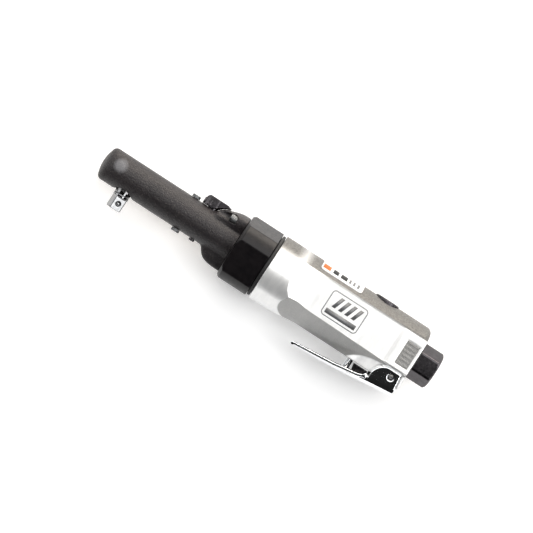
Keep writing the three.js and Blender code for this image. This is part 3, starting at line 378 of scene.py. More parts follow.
class Look:
    """A material built around one Principled shader, with short ways to add what drives it."""

    def __init__(self, name, **numbers):
        self.material = bpy.data.materials.new(name)
        self.material.use_nodes = True
        self.tree = self.material.node_tree
        self.shader = self.tree.nodes["Principled BSDF"]
        for socket, value in numbers.items():
            self.shader.inputs[socket.replace("_", " ")].default_value = value
        self.here = self.node("ShaderNodeMapping", {
            "Vector": self.node("ShaderNodeTexCoord", {}).outputs["Object"],
            "Scale": (1 / MM, 1 / MM, 1 / MM),
        }).outputs["Vector"]

    def node(self, kind, sockets, **settings):
        made = self.tree.nodes.new(kind)
        for setting, value in settings.items():
            setattr(made, setting, value)
        for socket, value in sockets.items():
            if isinstance(value, bpy.types.NodeSocket):
                self.tree.links.new(value, made.inputs[socket])
            else:
                made.inputs[socket].default_value = value
        return made

    def stretched(self, x, y, z):
        """Millimetre coordinates scaled along each axis, for brushed lines."""
        return self.node("ShaderNodeMapping", {"Vector": self.here, "Scale": (x, y, z)}).outputs["Vector"]

    def noise(self, grain, detail=3.0, where=None, roughness=0.55):
        """Noise whose features are about `grain` millimetres across."""
        sockets = {"Vector": where or self.here, "Scale": 1 / grain, "Detail": detail}
        sockets["Roughness"] = roughness
        return self.node("ShaderNodeTexNoise", sockets).outputs["Fac"]

    def remap(self, value, low, high, to_low, to_high):
        sockets = {"Value": value, "From Min": low, "From Max": high, "To Min": to_low, "To Max": to_high}
        return self.node("ShaderNodeMapRange", sockets).outputs["Result"]

    def spread(self, noise, to_low=0, to_high=1, margin=0.3):
        """Noise, which rarely leaves the range from `margin` to 1 - `margin`, brought to another range."""
        return self.remap(noise, margin, 1 - margin, to_low, to_high)

    def maths(self, operation, first, second=0.0):
        return self.node("ShaderNodeMath", {0: first, 1: second}, operation=operation).outputs[0]

    def times(self, first, second):
        return self.maths("MULTIPLY", first, second)

    def between(self, value, low, high):
        """1 where the value lies between two numbers, and 0 elsewhere."""
        return self.times(self.maths("GREATER_THAN", value, low), self.maths("LESS_THAN", value, high))

    def mix(self, share, first, second):
        sockets = {0: share, 6: first, 7: second}
        return self.node("ShaderNodeMix", sockets, data_type="RGBA").outputs[2]

    def bump(self, height, distance, strength=1.0, under=None):
        """A bump of `distance` millimetres, on top of another one if given."""
        sockets = {"Height": height, "Distance": distance * MM, "Strength": strength}
        if under is not None:
            sockets["Normal"] = under
        return self.node("ShaderNodeBump", sockets).outputs["Normal"]

    def part(self, axis):
        """One of the millimetre coordinates: X, Y or Z."""
        return self.node("ShaderNodeSeparateXYZ", {"Vector": self.here}).outputs[axis]

    def edges(self, low, high):
        """From 0 on flat ground to 1 on outward edges, where a look lightens its colour."""
        pointiness = self.node("ShaderNodeNewGeometry", {}).outputs["Pointiness"]
        return self.remap(pointiness, low, high, 0, 1)

    def attribute(self, name):
        return self.node("ShaderNodeAttribute", {}, attribute_name=name).outputs["Fac"]

    def finish(self, colour, roughness, normal=None):
        """Links what varies to the shader and gives the material."""
        for socket, output in (("Base Color", colour), ("Roughness", roughness), ("Normal", normal)):
            if output is not None:
                self.tree.links.new(output, self.shader.inputs[socket])
        return self.material


def grey(value, warm=0.0):
    return (value * (1 + warm), value, value * (1 - warm), 1)


def painted_highlight_spot(look):
    """1 on a round painted highlight near the tip of the head, falling to 0 around it."""
    along = look.maths("ADD", look.part(X), 7.3)
    across = look.maths("ADD", look.part(Y), -AXIS_Y - 2.3)
    squares = look.maths("ADD", look.times(along, along), look.times(across, across))
    distance = look.maths("ADD", look.maths("SQRT", squares), look.noise(1.4, 3))
    near_side = look.maths("GREATER_THAN", look.part(Z), 0)
    return look.times(look.remap(distance, 2.4, 4.6, 1, 0), near_side)


def head_coat():
    """A gritty black coat."""
    look = Look("head_coat", Metallic=0.0, Specular_IOR_Level=0.5)
    grain = look.noise(0.75, 3, roughness=0.65)
    speck = look.remap(look.noise(0.6, 2), 0.55, 0.72, 0, 1)
    cloud = look.spread(look.noise(9, 2), margin=0.35)
    base = look.mix(cloud, (0.0062, 0.0038, 0.0052, 1), (0.0115, 0.0078, 0.0092, 1))
    base = look.mix(look.times(speck, 0.5), base, (0.085, 0.075, 0.066, 1))
    # Painted highlight: a round lighter grey spot near the tip, mixed into the coat's colour.
    base = look.mix(look.times(painted_highlight_spot(look), 0.75), base, (0.17, 0.17, 0.18, 1))
    base = look.mix(look.times(look.edges(0.52, 0.62), 0.3), base, (0.1, 0.09, 0.085, 1))
    return look.finish(base, look.spread(look.noise(0.8), 0.36, 0.5), look.bump(grain, 0.4, 0.9))


def collar_coat():
    """Smoother black, with fine turning lines."""
    look = Look("collar_coat", Metallic=0.0, Specular_IOR_Level=0.3)
    lines = look.noise(0.5, 3, look.stretched(1, 0.05, 0.05))
    cloud = look.spread(look.noise(6, 3), margin=0.35)
    base = look.mix(cloud, (0.0034, 0.0026, 0.0033, 1), (0.0072, 0.0058, 0.0064, 1))
    relief = look.bump(look.maths("ADD", lines, look.noise(0.6)), 0.03, 0.7)
    return look.finish(base, look.spread(look.noise(1.5), 0.3, 0.42), relief)


def casting():
    """Aluminium that is polished on the ring, side flats and cheeks, and left as cast elsewhere; the top of
    the front ring is darkened the same way as painted shade.
    """
    look = Look("casting", Metallic=0.6)
    # This share is the cast finish, and painted shade on the top of the front ring.
    rough = look.attribute("cast_and_shade")
    brushed = look.noise(0.5, 4, look.stretched(1, 0.08, 0.08))
    streaks = look.noise(2.4, 4, look.stretched(1, 0.3, 0.3))
    grain = look.noise(0.8, 4, roughness=0.65)
    polished = look.mix(look.spread(streaks, margin=0.35), (0.86, 0.865, 0.86, 1), (0.94, 0.94, 0.93, 1))
    cast = look.mix(look.spread(grain, margin=0.35), (0.12, 0.117, 0.111, 1), (0.21, 0.204, 0.193, 1))
    smooth_roughness = look.spread(streaks, 0.3, 0.38)
    cast_roughness = look.spread(look.noise(1.2), 0.5, 0.66)
    blend = look.node("ShaderNodeMix", {0: rough, 2: smooth_roughness, 3: cast_roughness})
    polish_bump = look.bump(brushed, 0.012, 0.6)
    coarseness = look.maths("SUBTRACT", 2.6, look.times(rough, 2))
    cast_height = look.times(grain, look.times(rough, coarseness))
    relief = look.bump(cast_height, 0.3, 0.9, polish_bump)
    return look.finish(look.mix(rough, polished, cast), blend.outputs[0], relief)


def plain_look(name, metallic, colours, blotches, gloss, relief):
    """A look with one noise each for its colour, its roughness and its bump.

    `blotches` is a grain, a detail and a margin, `gloss` a grain and the range of the roughness, and
    `relief` a grain and a height."""
    look = Look(name, Metallic=metallic)
    grain, detail, margin = blotches
    base = look.mix(look.spread(look.noise(grain, detail), margin=margin), *colours)
    roughness = look.spread(look.noise(gloss[0]), *gloss[1:])
    return look.finish(base, roughness, look.bump(look.noise(relief[0]), relief[1], 0.6))


def chrome(name, low, high):
    colours = (grey(low, -0.02), grey(high, -0.01))
    return plain_look(name, 1.0, colours, (1.8, 4, 0.3), (0.7, 0.03, 0.09), (0.5, 0.003))


def copper_alloy(name, dark, light):
    return plain_look(name, 1.0, (dark, light), (1.6, 4, 0.35), (0.5, 0.25, 0.45), (0.3, 0.01))


def rubber():
    colours = (grey(0.006), grey(0.014))
    return plain_look("rubber", 0.0, colours, (1.2, 3, 0.3), (0.5, 0.5, 0.75), (0.25, 0.02))


def etched():
    colours = (grey(0.16, -0.02), grey(0.3, -0.02))
    return plain_look("etched", 0.8, colours, (0.4, 3, 0.3), (0.3, 0.55, 0.75), (0.3, 0.02))


def ground_steel(name, low, high):
    look = Look(name, Metallic=1.0)
    scratches = look.noise(0.2, 3, look.stretched(1, 0.1, 0.1))
    base = look.mix(look.spread(look.noise(2.5, 3)), grey(low, -0.02), grey(high, -0.02))
    return look.finish(base, look.spread(scratches, 0.22, 0.42), look.bump(scratches, 0.008, 0.6))


def black_steel():
    look = Look("black_steel", Metallic=1.0)
    base = look.mix(look.spread(look.noise(3, 3)), (0.056, 0.052, 0.056, 1), (0.085, 0.08, 0.084, 1))
    # Painted highlight: outward edges lightened to grey as glints.
    base = look.mix(look.times(look.edges(0.56, 0.66), 0.6), base, grey(0.3))
    relief = look.bump(look.noise(0.4, 3), 0.008, 0.6)
    return look.finish(base, look.spread(look.noise(0.9), 0.12, 0.2), relief)


def vane_plastic():
    look = Look("vane_plastic", Metallic=0.0)
    weave = look.noise(0.5, 4, look.stretched(0.15, 1, 1))
    base = look.mix(look.spread(weave, margin=0.35), (0.09, 0.045, 0.018, 1), (0.20, 0.11, 0.05, 1))
    return look.finish(base, look.spread(weave, 0.5, 0.7), look.bump(weave, 0.03, 0.6))


def printed_label():
    """White foil with a row of plain printed blocks on each side, measured from the label's front end."""
    look = Look("label", Metallic=0.0, Specular_IOR_Level=0.25)
    start = LABEL[0].x
    along = look.part(X)
    row = look.between(look.part(Y), AXIS_Y + 14.4, AXIS_Y + 16.4)
    orange = (0.5, 0.125, 0.008, 1)
    blocks = [(0.8, 4.8, orange), (6.3, 9.3, grey(0.006)), (10.6, 14.2, grey(0.006))]
    blocks.extend((low, low + 1.1, grey(0.16)) for low in (15.3, 17.5, 19.9))
    base = look.mix(look.spread(look.noise(3, 2)), grey(0.78), grey(0.86))
    for low, high, ink in blocks:
        inside = look.between(along, start + low, start + high)
        base = look.mix(look.times(inside, row), base, ink)
    return look.finish(base, look.spread(look.noise(0.8), 0.3, 0.42), look.bump(look.noise(0.6), 0.006, 0.5))


def floor_paint():
    look = Look("floor_paint", Metallic=0.0, Emission_Color=(1, 1, 1, 1), Emission_Strength=0.3)
    base = look.mix(look.spread(look.noise(60, 2)), grey(0.90, 0.002), grey(0.92, 0.002))
    return look.finish(base, look.spread(look.noise(20, 2), 0.75, 0.85))


# Painted shade: a darkened copy of the chrome for the anvil and its ball, standing in for the shade that the
# square's faces mirror.
SHADED_ANVIL_CHROME = chrome("anvil_chrome_painted_shade", 0.19, 0.31)
SCREW_STEEL = ground_steel("screw_steel", 0.09, 0.2)
LOOKS = {
    "head_coat": head_coat(),
    "collar_coat": collar_coat(),
    "casting": casting(),
    "chrome": chrome("chrome", 0.8, 0.94),
    "steel": ground_steel("steel", 0.36, 0.56),
    "black_steel": black_steel(),
    "bronze": copper_alloy("bronze", (0.30, 0.17, 0.07, 1), (0.52, 0.33, 0.15, 1)),
    "brass": copper_alloy("brass", (0.48, 0.33, 0.11, 1), (0.72, 0.53, 0.22, 1)),
    "rubber": rubber(),
    "vane_plastic": vane_plastic(),
    "label": printed_label(),
}
ETCHED = etched()


# ---- ratchet head


SQUEEZE_START_X = -2
SQUEEZE_LENGTH = 14.6
SQUEEZE_POWER = 2.2


def squeeze(x):
    """How far the barrel is narrowed sideways near its tip, which is round along the drive axis too."""
    share = max(0.0, (SQUEEZE_START_X - x) / SQUEEZE_LENGTH)
    return (1 - share ** SQUEEZE_POWER) ** (1 / SQUEEZE_POWER)


LOBE_FRONT_X = 41.8
UPPER_LOBE = [(LOBE_FRONT_X, TUBE_RADIUS), (42.9, 9.3), (43.9, 10.2), (45.3, 11.45), (46.8, 12.4),
              (48.6, 12.95), (51, 13.7), (53.2, 14.4), (56, LOBE_RADIUS), (HEAD_REAR_X, LOBE_RADIUS)]
LOWER_LOBE = [(LOBE_FRONT_X, TUBE_RADIUS), (44.2, TUBE_RADIUS + 0.1), (45.6, 9.4), (47.2, 11.6),
              (49, 13.3), (51, 14.2), (53.5, 14.7), (56, LOBE_RADIUS), (HEAD_REAR_X, LOBE_RADIUS)]
LOBE_BLEND = 11
SCREW_POCKET_X = 44
CRANK_ROOM_X = 13


def lobe_share(y, z):
    """1 in the middle of a screw lobe, falling softly to 0 beside it."""
    turn = math.degrees(math.atan2(y, z)) % 180
    off = abs((turn - LOBE_TURN + 90) % 180 - 90)
    return 1 - float(smooth_step(np.array(off), LOBE_HALF_WIDTH - LOBE_BLEND, LOBE_HALF_WIDTH + LOBE_BLEND))


def barrel():
    """The head's skin: a round bar with a domed tip and two screw lobes at its rear."""
    dome_radius = 19
    corner = 2.6
    corner_x = -12.8
    dome = arc((HEAD_TIP_X + dome_radius, 0), dome_radius, 180, 161.5, 16)
    rim = arc((corner_x, TUBE_RADIUS - corner), corner, 158, 90, 16)
    tip_stations = np.linspace(corner_x + 0.4, SQUEEZE_START_X, 30)
    lobe_stations = np.linspace(LOBE_FRONT_X, HEAD_REAR_X, 50)
    stations = [(float(x), TUBE_RADIUS) for x in (*tip_stations, *lobe_stations)]
    bar = turned("x", [*dome, *rim, *stations, (HEAD_REAR_X, 0)], 256)
    flares = {True: smooth_line(UPPER_LOBE, 6), False: smooth_line(LOWER_LOBE, 6)}
    for vertex in bar.vertices:
        x, y, z = vertex.co
        vertex.co.z *= squeeze(x)
        if x > LOBE_FRONT_X and y * y + z * z > 1:
            radius = TUBE_RADIUS + (height_at(flares[y > 0], x) - TUBE_RADIUS) * lobe_share(y, z)
            vertex.co.y *= radius / TUBE_RADIUS
            vertex.co.z *= radius / TUBE_RADIUS
    return bar


def screw_pocket():
    """A case screw's sunk seat, the oval opening that the seat makes in the lobe, and the screw's hole."""
    bore = rod("x", SCREW_POCKET_X, SCREW_SEAT_X, SCREW_HEAD_RADIUS + 0.3, y=SCREW_Y, z=SCREW_Z)
    oval_x, half_length, half_width = 52.2, 3.7, 2
    oval = [(oval_x + half_length * math.cos(turn), SCREW_Y + half_width * math.sin(turn))
            for turn in np.linspace(0, math.tau, 49)[:-1]]
    side = prism("z", oval, SCREW_Z, SCREW_Z + 5)
    ahead_of_seat = block((SCREW_POCKET_X, SCREW_SEAT_X), (-20, 20), (-20, 20))
    shank = rod("x", SCREW_SEAT_X - 1, HEAD_REAR_X + 1, 1.3, y=SCREW_Y, z=SCREW_Z)
    return join(bore, overlap(side, ahead_of_seat), shank)


def ratchet_head():
    """The barrel with its hollows for the yoke, the anvil, the crank and the screws."""
    half_slot = 2.6
    slot_end_x = CRANK_ROOM_X + 0.2
    yoke_room, anvil_bore, journal_bore, crank_pin_room = 6.8, 5.4, 4.3, 3.15
    outside = TUBE_RADIUS + 1
    screw_reach = 11
    hollows = [
        rod("y", -half_slot, half_slot, yoke_room),
        block((0, slot_end_x), (-half_slot, half_slot), (-6.6, 6.6)),
        block((4, slot_end_x), (2, 6.9), (-2.8, 3)),
        rod("y", -outside, 0, anvil_bore),
        rod("y", 0, 6.6, journal_bore),
        rod("x", CRANK_ROOM_X, HEAD_REAR_X + 1, TUBE_BORE),
        rod("x", 7.5, slot_end_x, crank_pin_room),
        rod("y", -screw_reach, screw_reach, 1.45, x=middle(SET_SCREW, X)),
        rod("y", -screw_reach, -5, 1.2, x=middle(GREASE_SCREW, X)),
        rod("y", 5, screw_reach, REVERSE_HUB + FIT_GAP, x=REVERSE_X),
    ]
    pocket = screw_pocket()
    solid = cut(barrel(), pocket, spun(pocket, 180), *hollows)
    return softened(solid, 0.27, 3, most_faces=12)


place("head_shell", ratchet_head(), LOOKS["head_coat"], "casing", ["ratchet_housing"])


# ---- anvil

SQUARE = 6.35
SQUARE_TURN = 22.5
DRIVE_END_Y = ANVIL[0].y
SHANK_RADIUS = 4.1
SHANK_END_Y = -11.1
BALL_Y = DRIVE_END_Y + 3.4
BALL_RADIUS = 1


def square_drive():
    """The square with broken edges, a bevelled end and the hole of the retaining ball."""
    half = SQUARE / 2
    edge = 0.5
    square = [(half, half - edge), (half - edge, half), (edge - half, half), (-half, half - edge),
              (-half, edge - half), (edge - half, -half), (half - edge, -half), (half, edge - half)]
    bar = prism("y", square, DRIVE_END_Y, SHANK_END_Y + 0.5)
    corner_reach = 5
    bevel = lathe("y", [(DRIVE_END_Y, half + 0.5), (DRIVE_END_Y + 1.3, corner_reach),
                        (SHANK_END_Y + 1, corner_reach)])
    ball_hole = rod("z", half - 2.6, half + 1, BALL_RADIUS + 0.1, y=BALL_Y)
    low, high = half - 0.35, half + 0.3
    ball_seat = moved(lathe("z", [(low, 1.1), (high, 1.75)]), y=BALL_Y)
    return spun(cut(overlap(bar, bevel), ball_hole, ball_seat), SQUARE_TURN, "Y")


def ratchet_wheel():
    teeth = 48
    root_radius, tip_radius = 4.15, 4.5
    half_height = 1.5
    outline = []
    for tooth in range(teeth):
        for radius, place_in_pitch in ((root_radius, 0), (tip_radius, 0.5)):
            angle = math.tau * (tooth + place_in_pitch) / teeth
            outline.append((radius * math.cos(angle), radius * math.sin(angle)))
    return prism("y", outline, -half_height, half_height)


def anvil():
    chamfer = 0.35
    shank = lathe("y", [(SHANK_END_Y, SHANK_RADIUS - chamfer), (SHANK_END_Y + chamfer, SHANK_RADIUS),
                        (0, SHANK_RADIUS)])
    groove = tube("y", -9.75, -9.35, 5, SHANK_RADIUS - 0.2)
    journal = rod("y", -0.5, 6.1, 2.4)
    return softened(join(cut(shank, groove), ratchet_wheel(), journal, square_drive()), 0.11, 2)


def socket_ball():
    """The ball with the small flat that wear gives it."""
    flat_angle = 20
    flat_z = BALL_RADIUS * math.cos(math.radians(flat_angle))
    profile = [*arc((0, 0), BALL_RADIUS, 180, flat_angle, 40), (flat_z, 0)]
    ball = moved(turned("z", profile, 96), y=BALL_Y, z=SQUARE / 2 - 0.45)
    return spun(ball, SQUARE_TURN, "Y")


show("anvil", anvil(), "chrome", "anvil", SHADED_ANVIL_CHROME)
show("socket_ball", socket_ball(), "chrome", "socket_ball", SHADED_ANVIL_CHROME)


# ---- screws

CASE_SCREW_HEAD, SET_SCREW_HEAD, GREASE_SCREW_HEAD = 3.6, 1.6, 1.1
CASE_SCREW_SHANK, SET_SCREW_SHANK, GREASE_SCREW_SHANK = 1.1, 1.3, 1.05
CASE_SCREW_KEY, SET_SCREW_KEY, GREASE_SCREW_KEY = 1.05, 1, 0.7
KNURLS = 20


def socket_screw(axis, top, head_length, head_radius, end, shank_radius, socket, knurls=0):
    """A socket screw whose head ends at `top` and whose shank runs to `end`."""
    outward = 1 if top > end else -1
    seat = top - outward * head_length
    edge = 0.28
    rounding = [(top - outward * (edge - edge * math.sin(a)), head_radius - edge + edge * math.cos(a))
                for a in (math.pi / 2, math.pi / 3, math.pi / 6, 0)]
    screw = lathe(axis, [*rounding, (seat, head_radius), (seat, shank_radius), (end, shank_radius)])
    socket_floor = top - outward * head_length * 0.62
    key = prism(axis, arc((0, 0), socket, 0, 300, 5), *sorted((socket_floor, top + outward)))
    inner, outer = top - outward * 0.3, top + outward * 0.1
    lead_in = lathe(axis, [(inner, socket * 0.8), (outer, socket + 0.22)])
    groove = rod(axis, *sorted((seat - outward * 0.2, top - outward * 0.45)), 0.13, 12)
    moved(groove, *LAY[axis](head_radius + 0.03, 0, 0))
    grooves = [spun(groove, 360 * knurl / knurls, axis.upper()) for knurl in range(knurls)]
    return softened(cut(screw, key, lead_in, *grooves), 0.08, 1)


def side_screws():
    top = SET_SCREW[1].y
    radius = half_size(SET_SCREW, X)
    for name, outer, inner in (("set_screw_top", top, 7.2), ("set_screw_bottom", -top, -5.4)):
        screw = socket_screw("y", outer, SET_SCREW_HEAD, radius, inner, SET_SCREW_SHANK, SET_SCREW_KEY,
                             KNURLS)
        show(name, moved(screw, x=middle(SET_SCREW, X)), "steel", material=SCREW_STEEL)
    radius = half_size(GREASE_SCREW, X)
    screw = socket_screw("y", GREASE_SCREW[0].y, GREASE_SCREW_HEAD, radius, -7.2, GREASE_SCREW_SHANK,
                         GREASE_SCREW_KEY)
    show("grease_screw", moved(screw, x=middle(GREASE_SCREW, X)), "black_steel")


def case_screws():
    low, high = CASE_SCREW
    for name, sign in (("case_screw_top", 1), ("case_screw_bottom", -1)):
        screw = socket_screw("x", low.x, CASE_SCREW_HEAD, SCREW_HEAD_RADIUS, high.x, CASE_SCREW_SHANK,
                             CASE_SCREW_KEY, KNURLS)
        show(name, moved(screw, y=sign * SCREW_Y, z=sign * SCREW_Z), "chrome", material=SCREW_STEEL)


side_screws()
case_screws()


# ---- reverse lever

LEVER_CLEARANCE = 0.1


def lobe_sweep():
    """The room that the head takes up under the reverse lever, for each turn of the lever."""
    head = barrel()
    for vertex in head.vertices:
        radius = math.hypot(vertex.co.y, vertex.co.z)
        if radius > 1:
            vertex.co.y *= (radius + LEVER_CLEARANCE) / radius
            vertex.co.z *= (radius + LEVER_CLEARANCE) / radius
    near = moved(overlap(head, block((REVERSE_X - 12, REVERSE_X + 12), (6, 16), (-8, 8))), x=-REVERSE_X)
    return [moved(spun(near, turn, "Y"), x=REVERSE_X) for turn in range(-45, 46, 15)]


def reverse_lever():
    """A black lever with fluted sides and a tail, on a hub with an eccentric pin below."""
    half_width = 3.4
    tail_half_width = 2
    tail_end_x = REVERSE_X + 8.2
    above = 16
    side = [(-6.1, 8.7), (-6.1, 12), (-5.2, 12.6), (-5.2, 13.2), (-4.2, 14.3), (5.9, 14.3), (8.1, 13.5),
            (7.9, 12.8), (6.1, 12.1), (4.6, 11.1), (3.2, 9.8), (2.2, 8.7)]
    body = moved(prism("z", side, -half_width, half_width), x=REVERSE_X)
    plan = [*arc((0, REVERSE_X - 2.6), half_width, 180, 360, 32), (tail_half_width, tail_end_x),
            (-tail_half_width, tail_end_x)]
    flutes = []
    for side_sign in (1, -1):
        for spot, radius in ((-3.5, 0.6), (-1.9, 0.5), (1.7, 0.8), (3.6, 0.8)):
            flute = rod("y", 10.2, above, radius)
            flutes.append(moved(flute, x=REVERSE_X + spot, z=side_sign * (half_width + 0.05)))
    hub = rod("y", 7.1, 9.4, REVERSE_HUB, x=REVERSE_X)
    eccentric = rod("y", 5.4, 7.4, 0.5, x=REVERSE_X, z=2)
    solid = join(cut(overlap(body, prism("y", plan, 5, above)), *flutes, *lobe_sweep()), hub, eccentric)
    return softened(solid, 0.12, 2)


show("reverse_lever", reverse_lever(), "black_steel", "reverse_lever")


# ---- black collar and seal


def collar():
    """A round body with four flats, its locating ring in front and its spigot behind."""
    chamfer = 1.5
    ring_radius = TUBE_BORE - 0.2
    screw_hole = 1.25
    profile = [(LOCATING_RING_FRONT_X, ring_radius), (COLLAR_FRONT_X, ring_radius),
               (COLLAR_FRONT_X, COLLAR_RADIUS - chamfer), (COLLAR_FRONT_X + chamfer, COLLAR_RADIUS),
               (COLLAR_REAR_X, COLLAR_RADIUS), (COLLAR_REAR_X, SPIGOT_RADIUS), (SPIGOT_REAR_X, SPIGOT_RADIUS)]
    body = lathe("x", profile, 256)
    slab = block((COLLAR_FRONT_X - 1, COLLAR_REAR_X), (-20, 20), (COLLAR_FLAT, 25))
    flats = [spun(slab, -(COLLAR_FLAT_TURN + turn)) for turn in (0, 90, 180, 270)]
    hollows = [
        rod("x", LOCATING_RING_FRONT_X - 1, 62, 5.5),
        rod("x", 61.3, 66, 10.4),
        rod("x", 65.2, SPIGOT_REAR_X + 1, GEAR_BORE, 192),
    ]
    for sign in (1, -1):
        hole = rod("x", COLLAR_FRONT_X - 1, 66.2, screw_hole)
        hollows.append(moved(hole, y=sign * SCREW_Y, z=sign * SCREW_Z))
    return softened(cut(body, *flats, *hollows), 0.27, 2, most_faces=10)


def seal_ring():
    low, high = RING
    outer = high.y
    inner = SPIGOT_RADIUS + FIT_GAP
    round_edge = 0.35
    section = [
        (low.x, inner),
        *arc((low.x + round_edge, outer - round_edge), round_edge, 180, 90, 6),
        *arc((high.x - round_edge, outer - round_edge), round_edge, 90, 0, 6),
        (high.x, inner),
    ]
    return turned("x", section)


place("collar_shown", collar(), LOOKS["collar_coat"], "casing", ["gear_case"])
place("seal_ring_shown", seal_ring(), LOOKS["rubber"], "casing", ["front_seal_ring"])


# ---- motor housing


def flat_depth(x, front_x, run_out, depth_front, depth_rear):
    """Tool axis to a flat's surface, with a long sweep at the flat's front end."""
    share = np.clip((x - front_x) / run_out, 0, 1)
    sweep = HOUSING_RADIUS - (HOUSING_RADIUS - depth_front) * np.sin(share * math.pi / 2)
    draft_length = HOUSING_REAR_X - front_x - run_out
    draft = (depth_rear - depth_front) * np.clip((x - front_x - run_out) / draft_length, 0, 1.05)
    return sweep + draft


def flat_cutter(*flat):
    """What is milled away for a flat."""
    reach = 24
    front_x, run_out = flat[:2]
    rear_x = HOUSING_REAR_X + 2
    stations = [*np.linspace(front_x, front_x + run_out, 30), rear_x]
    surface = [(float(flat_depth(x, *flat)), float(x)) for x in stations]
    return prism("y", [(reach, front_x), *surface, (reach, rear_x)], -reach, reach)


def cheeks():
    """The widened bottom of the casting's rear."""
    half = smooth_line([(5.3, 132.8), (8.6, 137), (10.6, 142), (11.6, 148), (11.9, 153),
                        (11.9, HOUSING_REAR_X)], 8)
    return prism("y", two_sided(half), BELLY_Y, -7)


EAR_FRONT_RADIUS = 7.3
EAR_FRONT_CENTRE_X = 154.7


def ear_outline(gap):
    """The lever's ear seen from the side, grown by a gap for the recess that it turns in."""
    ear_radius = 3.6
    foot_y = -22
    top = PIVOT_Y + ear_radius + gap
    front = arc((EAR_FRONT_CENTRE_X, top - EAR_FRONT_RADIUS - gap), EAR_FRONT_RADIUS + gap, 180, 90, 24)
    rear_x = PIVOT_X + ear_radius + gap * 0.6
    return [(front[0][0] - gap * 0.3, foot_y), *front, (rear_x, top), (rear_x + 1.6, foot_y)]


PAD_FACE_Z = SIDE_FLAT_REAR + 0.7
PAD_FRONT_X = 148.6
PANEL_X = (153.7, 161.2)
PANEL_Y = (-5.8, 7.3)
PANEL_DEPTH = 0.35
PANEL_ROUGHNESS = 0.85


def side_pad():
    inside = 8
    plan = [(PAD_FACE_Z, PAD_FRONT_X + 1.6), (SIDE_FLAT_REAR, PAD_FRONT_X), (inside, PAD_FRONT_X),
            (inside, HOUSING_REAR_X), (PAD_FACE_Z, HOUSING_REAR_X)]
    pad = prism("y", plan, -8.2, 10.7)
    return cut(pad, block(PANEL_X, PANEL_Y, (PAD_FACE_Z - PANEL_DEPTH, PAD_FACE_Z + 1)))


def housing_body():
    rear = HOUSING_REAR_X
    rear_radius, front_radius = 3, 0.5
    rounding = arc((rear - rear_radius, HOUSING_RADIUS - rear_radius), rear_radius, 90, 0, 16)
    front_centre = (HOUSING_FRONT_X + front_radius, HOUSING_RADIUS - front_radius)
    solid = lathe("x", [*arc(front_centre, front_radius, 180, 90, 6), *rounding], 288)
    side_cut = flat_cutter(*SIDE_FLAT)
    slant_cut = spun(flat_cutter(*SLANT_FLAT), SLANT_TURN)
    below = -19
    ramp = [(88, below), (88, -HOUSING_RADIUS - 0.1), (104, BELLY_Y), (rear + 2, BELLY_Y), (rear + 2, below)]
    belly_cut = prism("z", ramp, -20, 20)
    return join(cut(solid, *both(side_cut), *both(slant_cut), belly_cut), cheeks(), *both(side_pad()))


def housing_hollows():
    """The bores along the tool and at the valve, the screw holes, and the recesses for ears and label."""
    past_rear = HOUSING_REAR_X + 1
    above = 20
    motor_end, wall_end = MOTOR_BORE_END_X - 1, -12.7
    hollows = [
        rod("x", HOUSING_FRONT_X - 1, SPIGOT_REAR_X + 0.3, SPIGOT_RADIUS + FIT_GAP, 192),
        rod("x", HOUSING_FRONT_X - 1, MOTOR_BORE_END_X, MOTOR_BORE, 192),
        rod("x", motor_end, 118.5, 4),
        rod("x", motor_end, 133, 2.2, y=-9.6),
        rod("y", wall_end, above, 5.2, x=VALVE_X),
        rod("y", -above, -12, 2.1, x=VALVE_X),
        rod("y", 14, above, 6.8, x=VALVE_X),
        rod("x", 138, 150, 5, y=INLET_Y),
        rod("x", 147, past_rear, 7.45, y=INLET_Y),
        block((137.4, 149), (-above, wall_end), (-3.4, 3.4)),
    ]
    for sign in (1, -1):
        hollows.append(rod("x", 86, past_rear, 1.8, y=8, z=sign * 9.5))
    hollows.extend(both(prism("z", ear_outline(1.1), EAR_RECESS_Z, above)))
    hollows.append(rod("z", -14, 14, PIVOT_HOLE, x=PIVOT_X, y=PIVOT_Y))
    low, high = LABEL[0].x - 0.2, LABEL[1].x + 0.2
    hollows.append(spine_sheet(low, high, HOUSING_RADIUS - 0.35, HOUSING_RADIUS + 2, 40.6))
    return hollows


def spine_sheet(low, high, inner, outer, half_degrees):
    """A stretch of a round sheet over the spine, centred on +y."""
    outer_edge = arc((0, 0), outer, -half_degrees, half_degrees, 48)
    inner_edge = arc((0, 0), inner, half_degrees, -half_degrees, 48)
    return prism("x", [*outer_edge, *inner_edge], low, high)


def store_cast_and_shade(mesh, share):
    attribute = mesh.attributes.new("cast_and_shade", "FLOAT", "POINT")
    attribute.data.foreach_set("value", share.astype(np.float32))


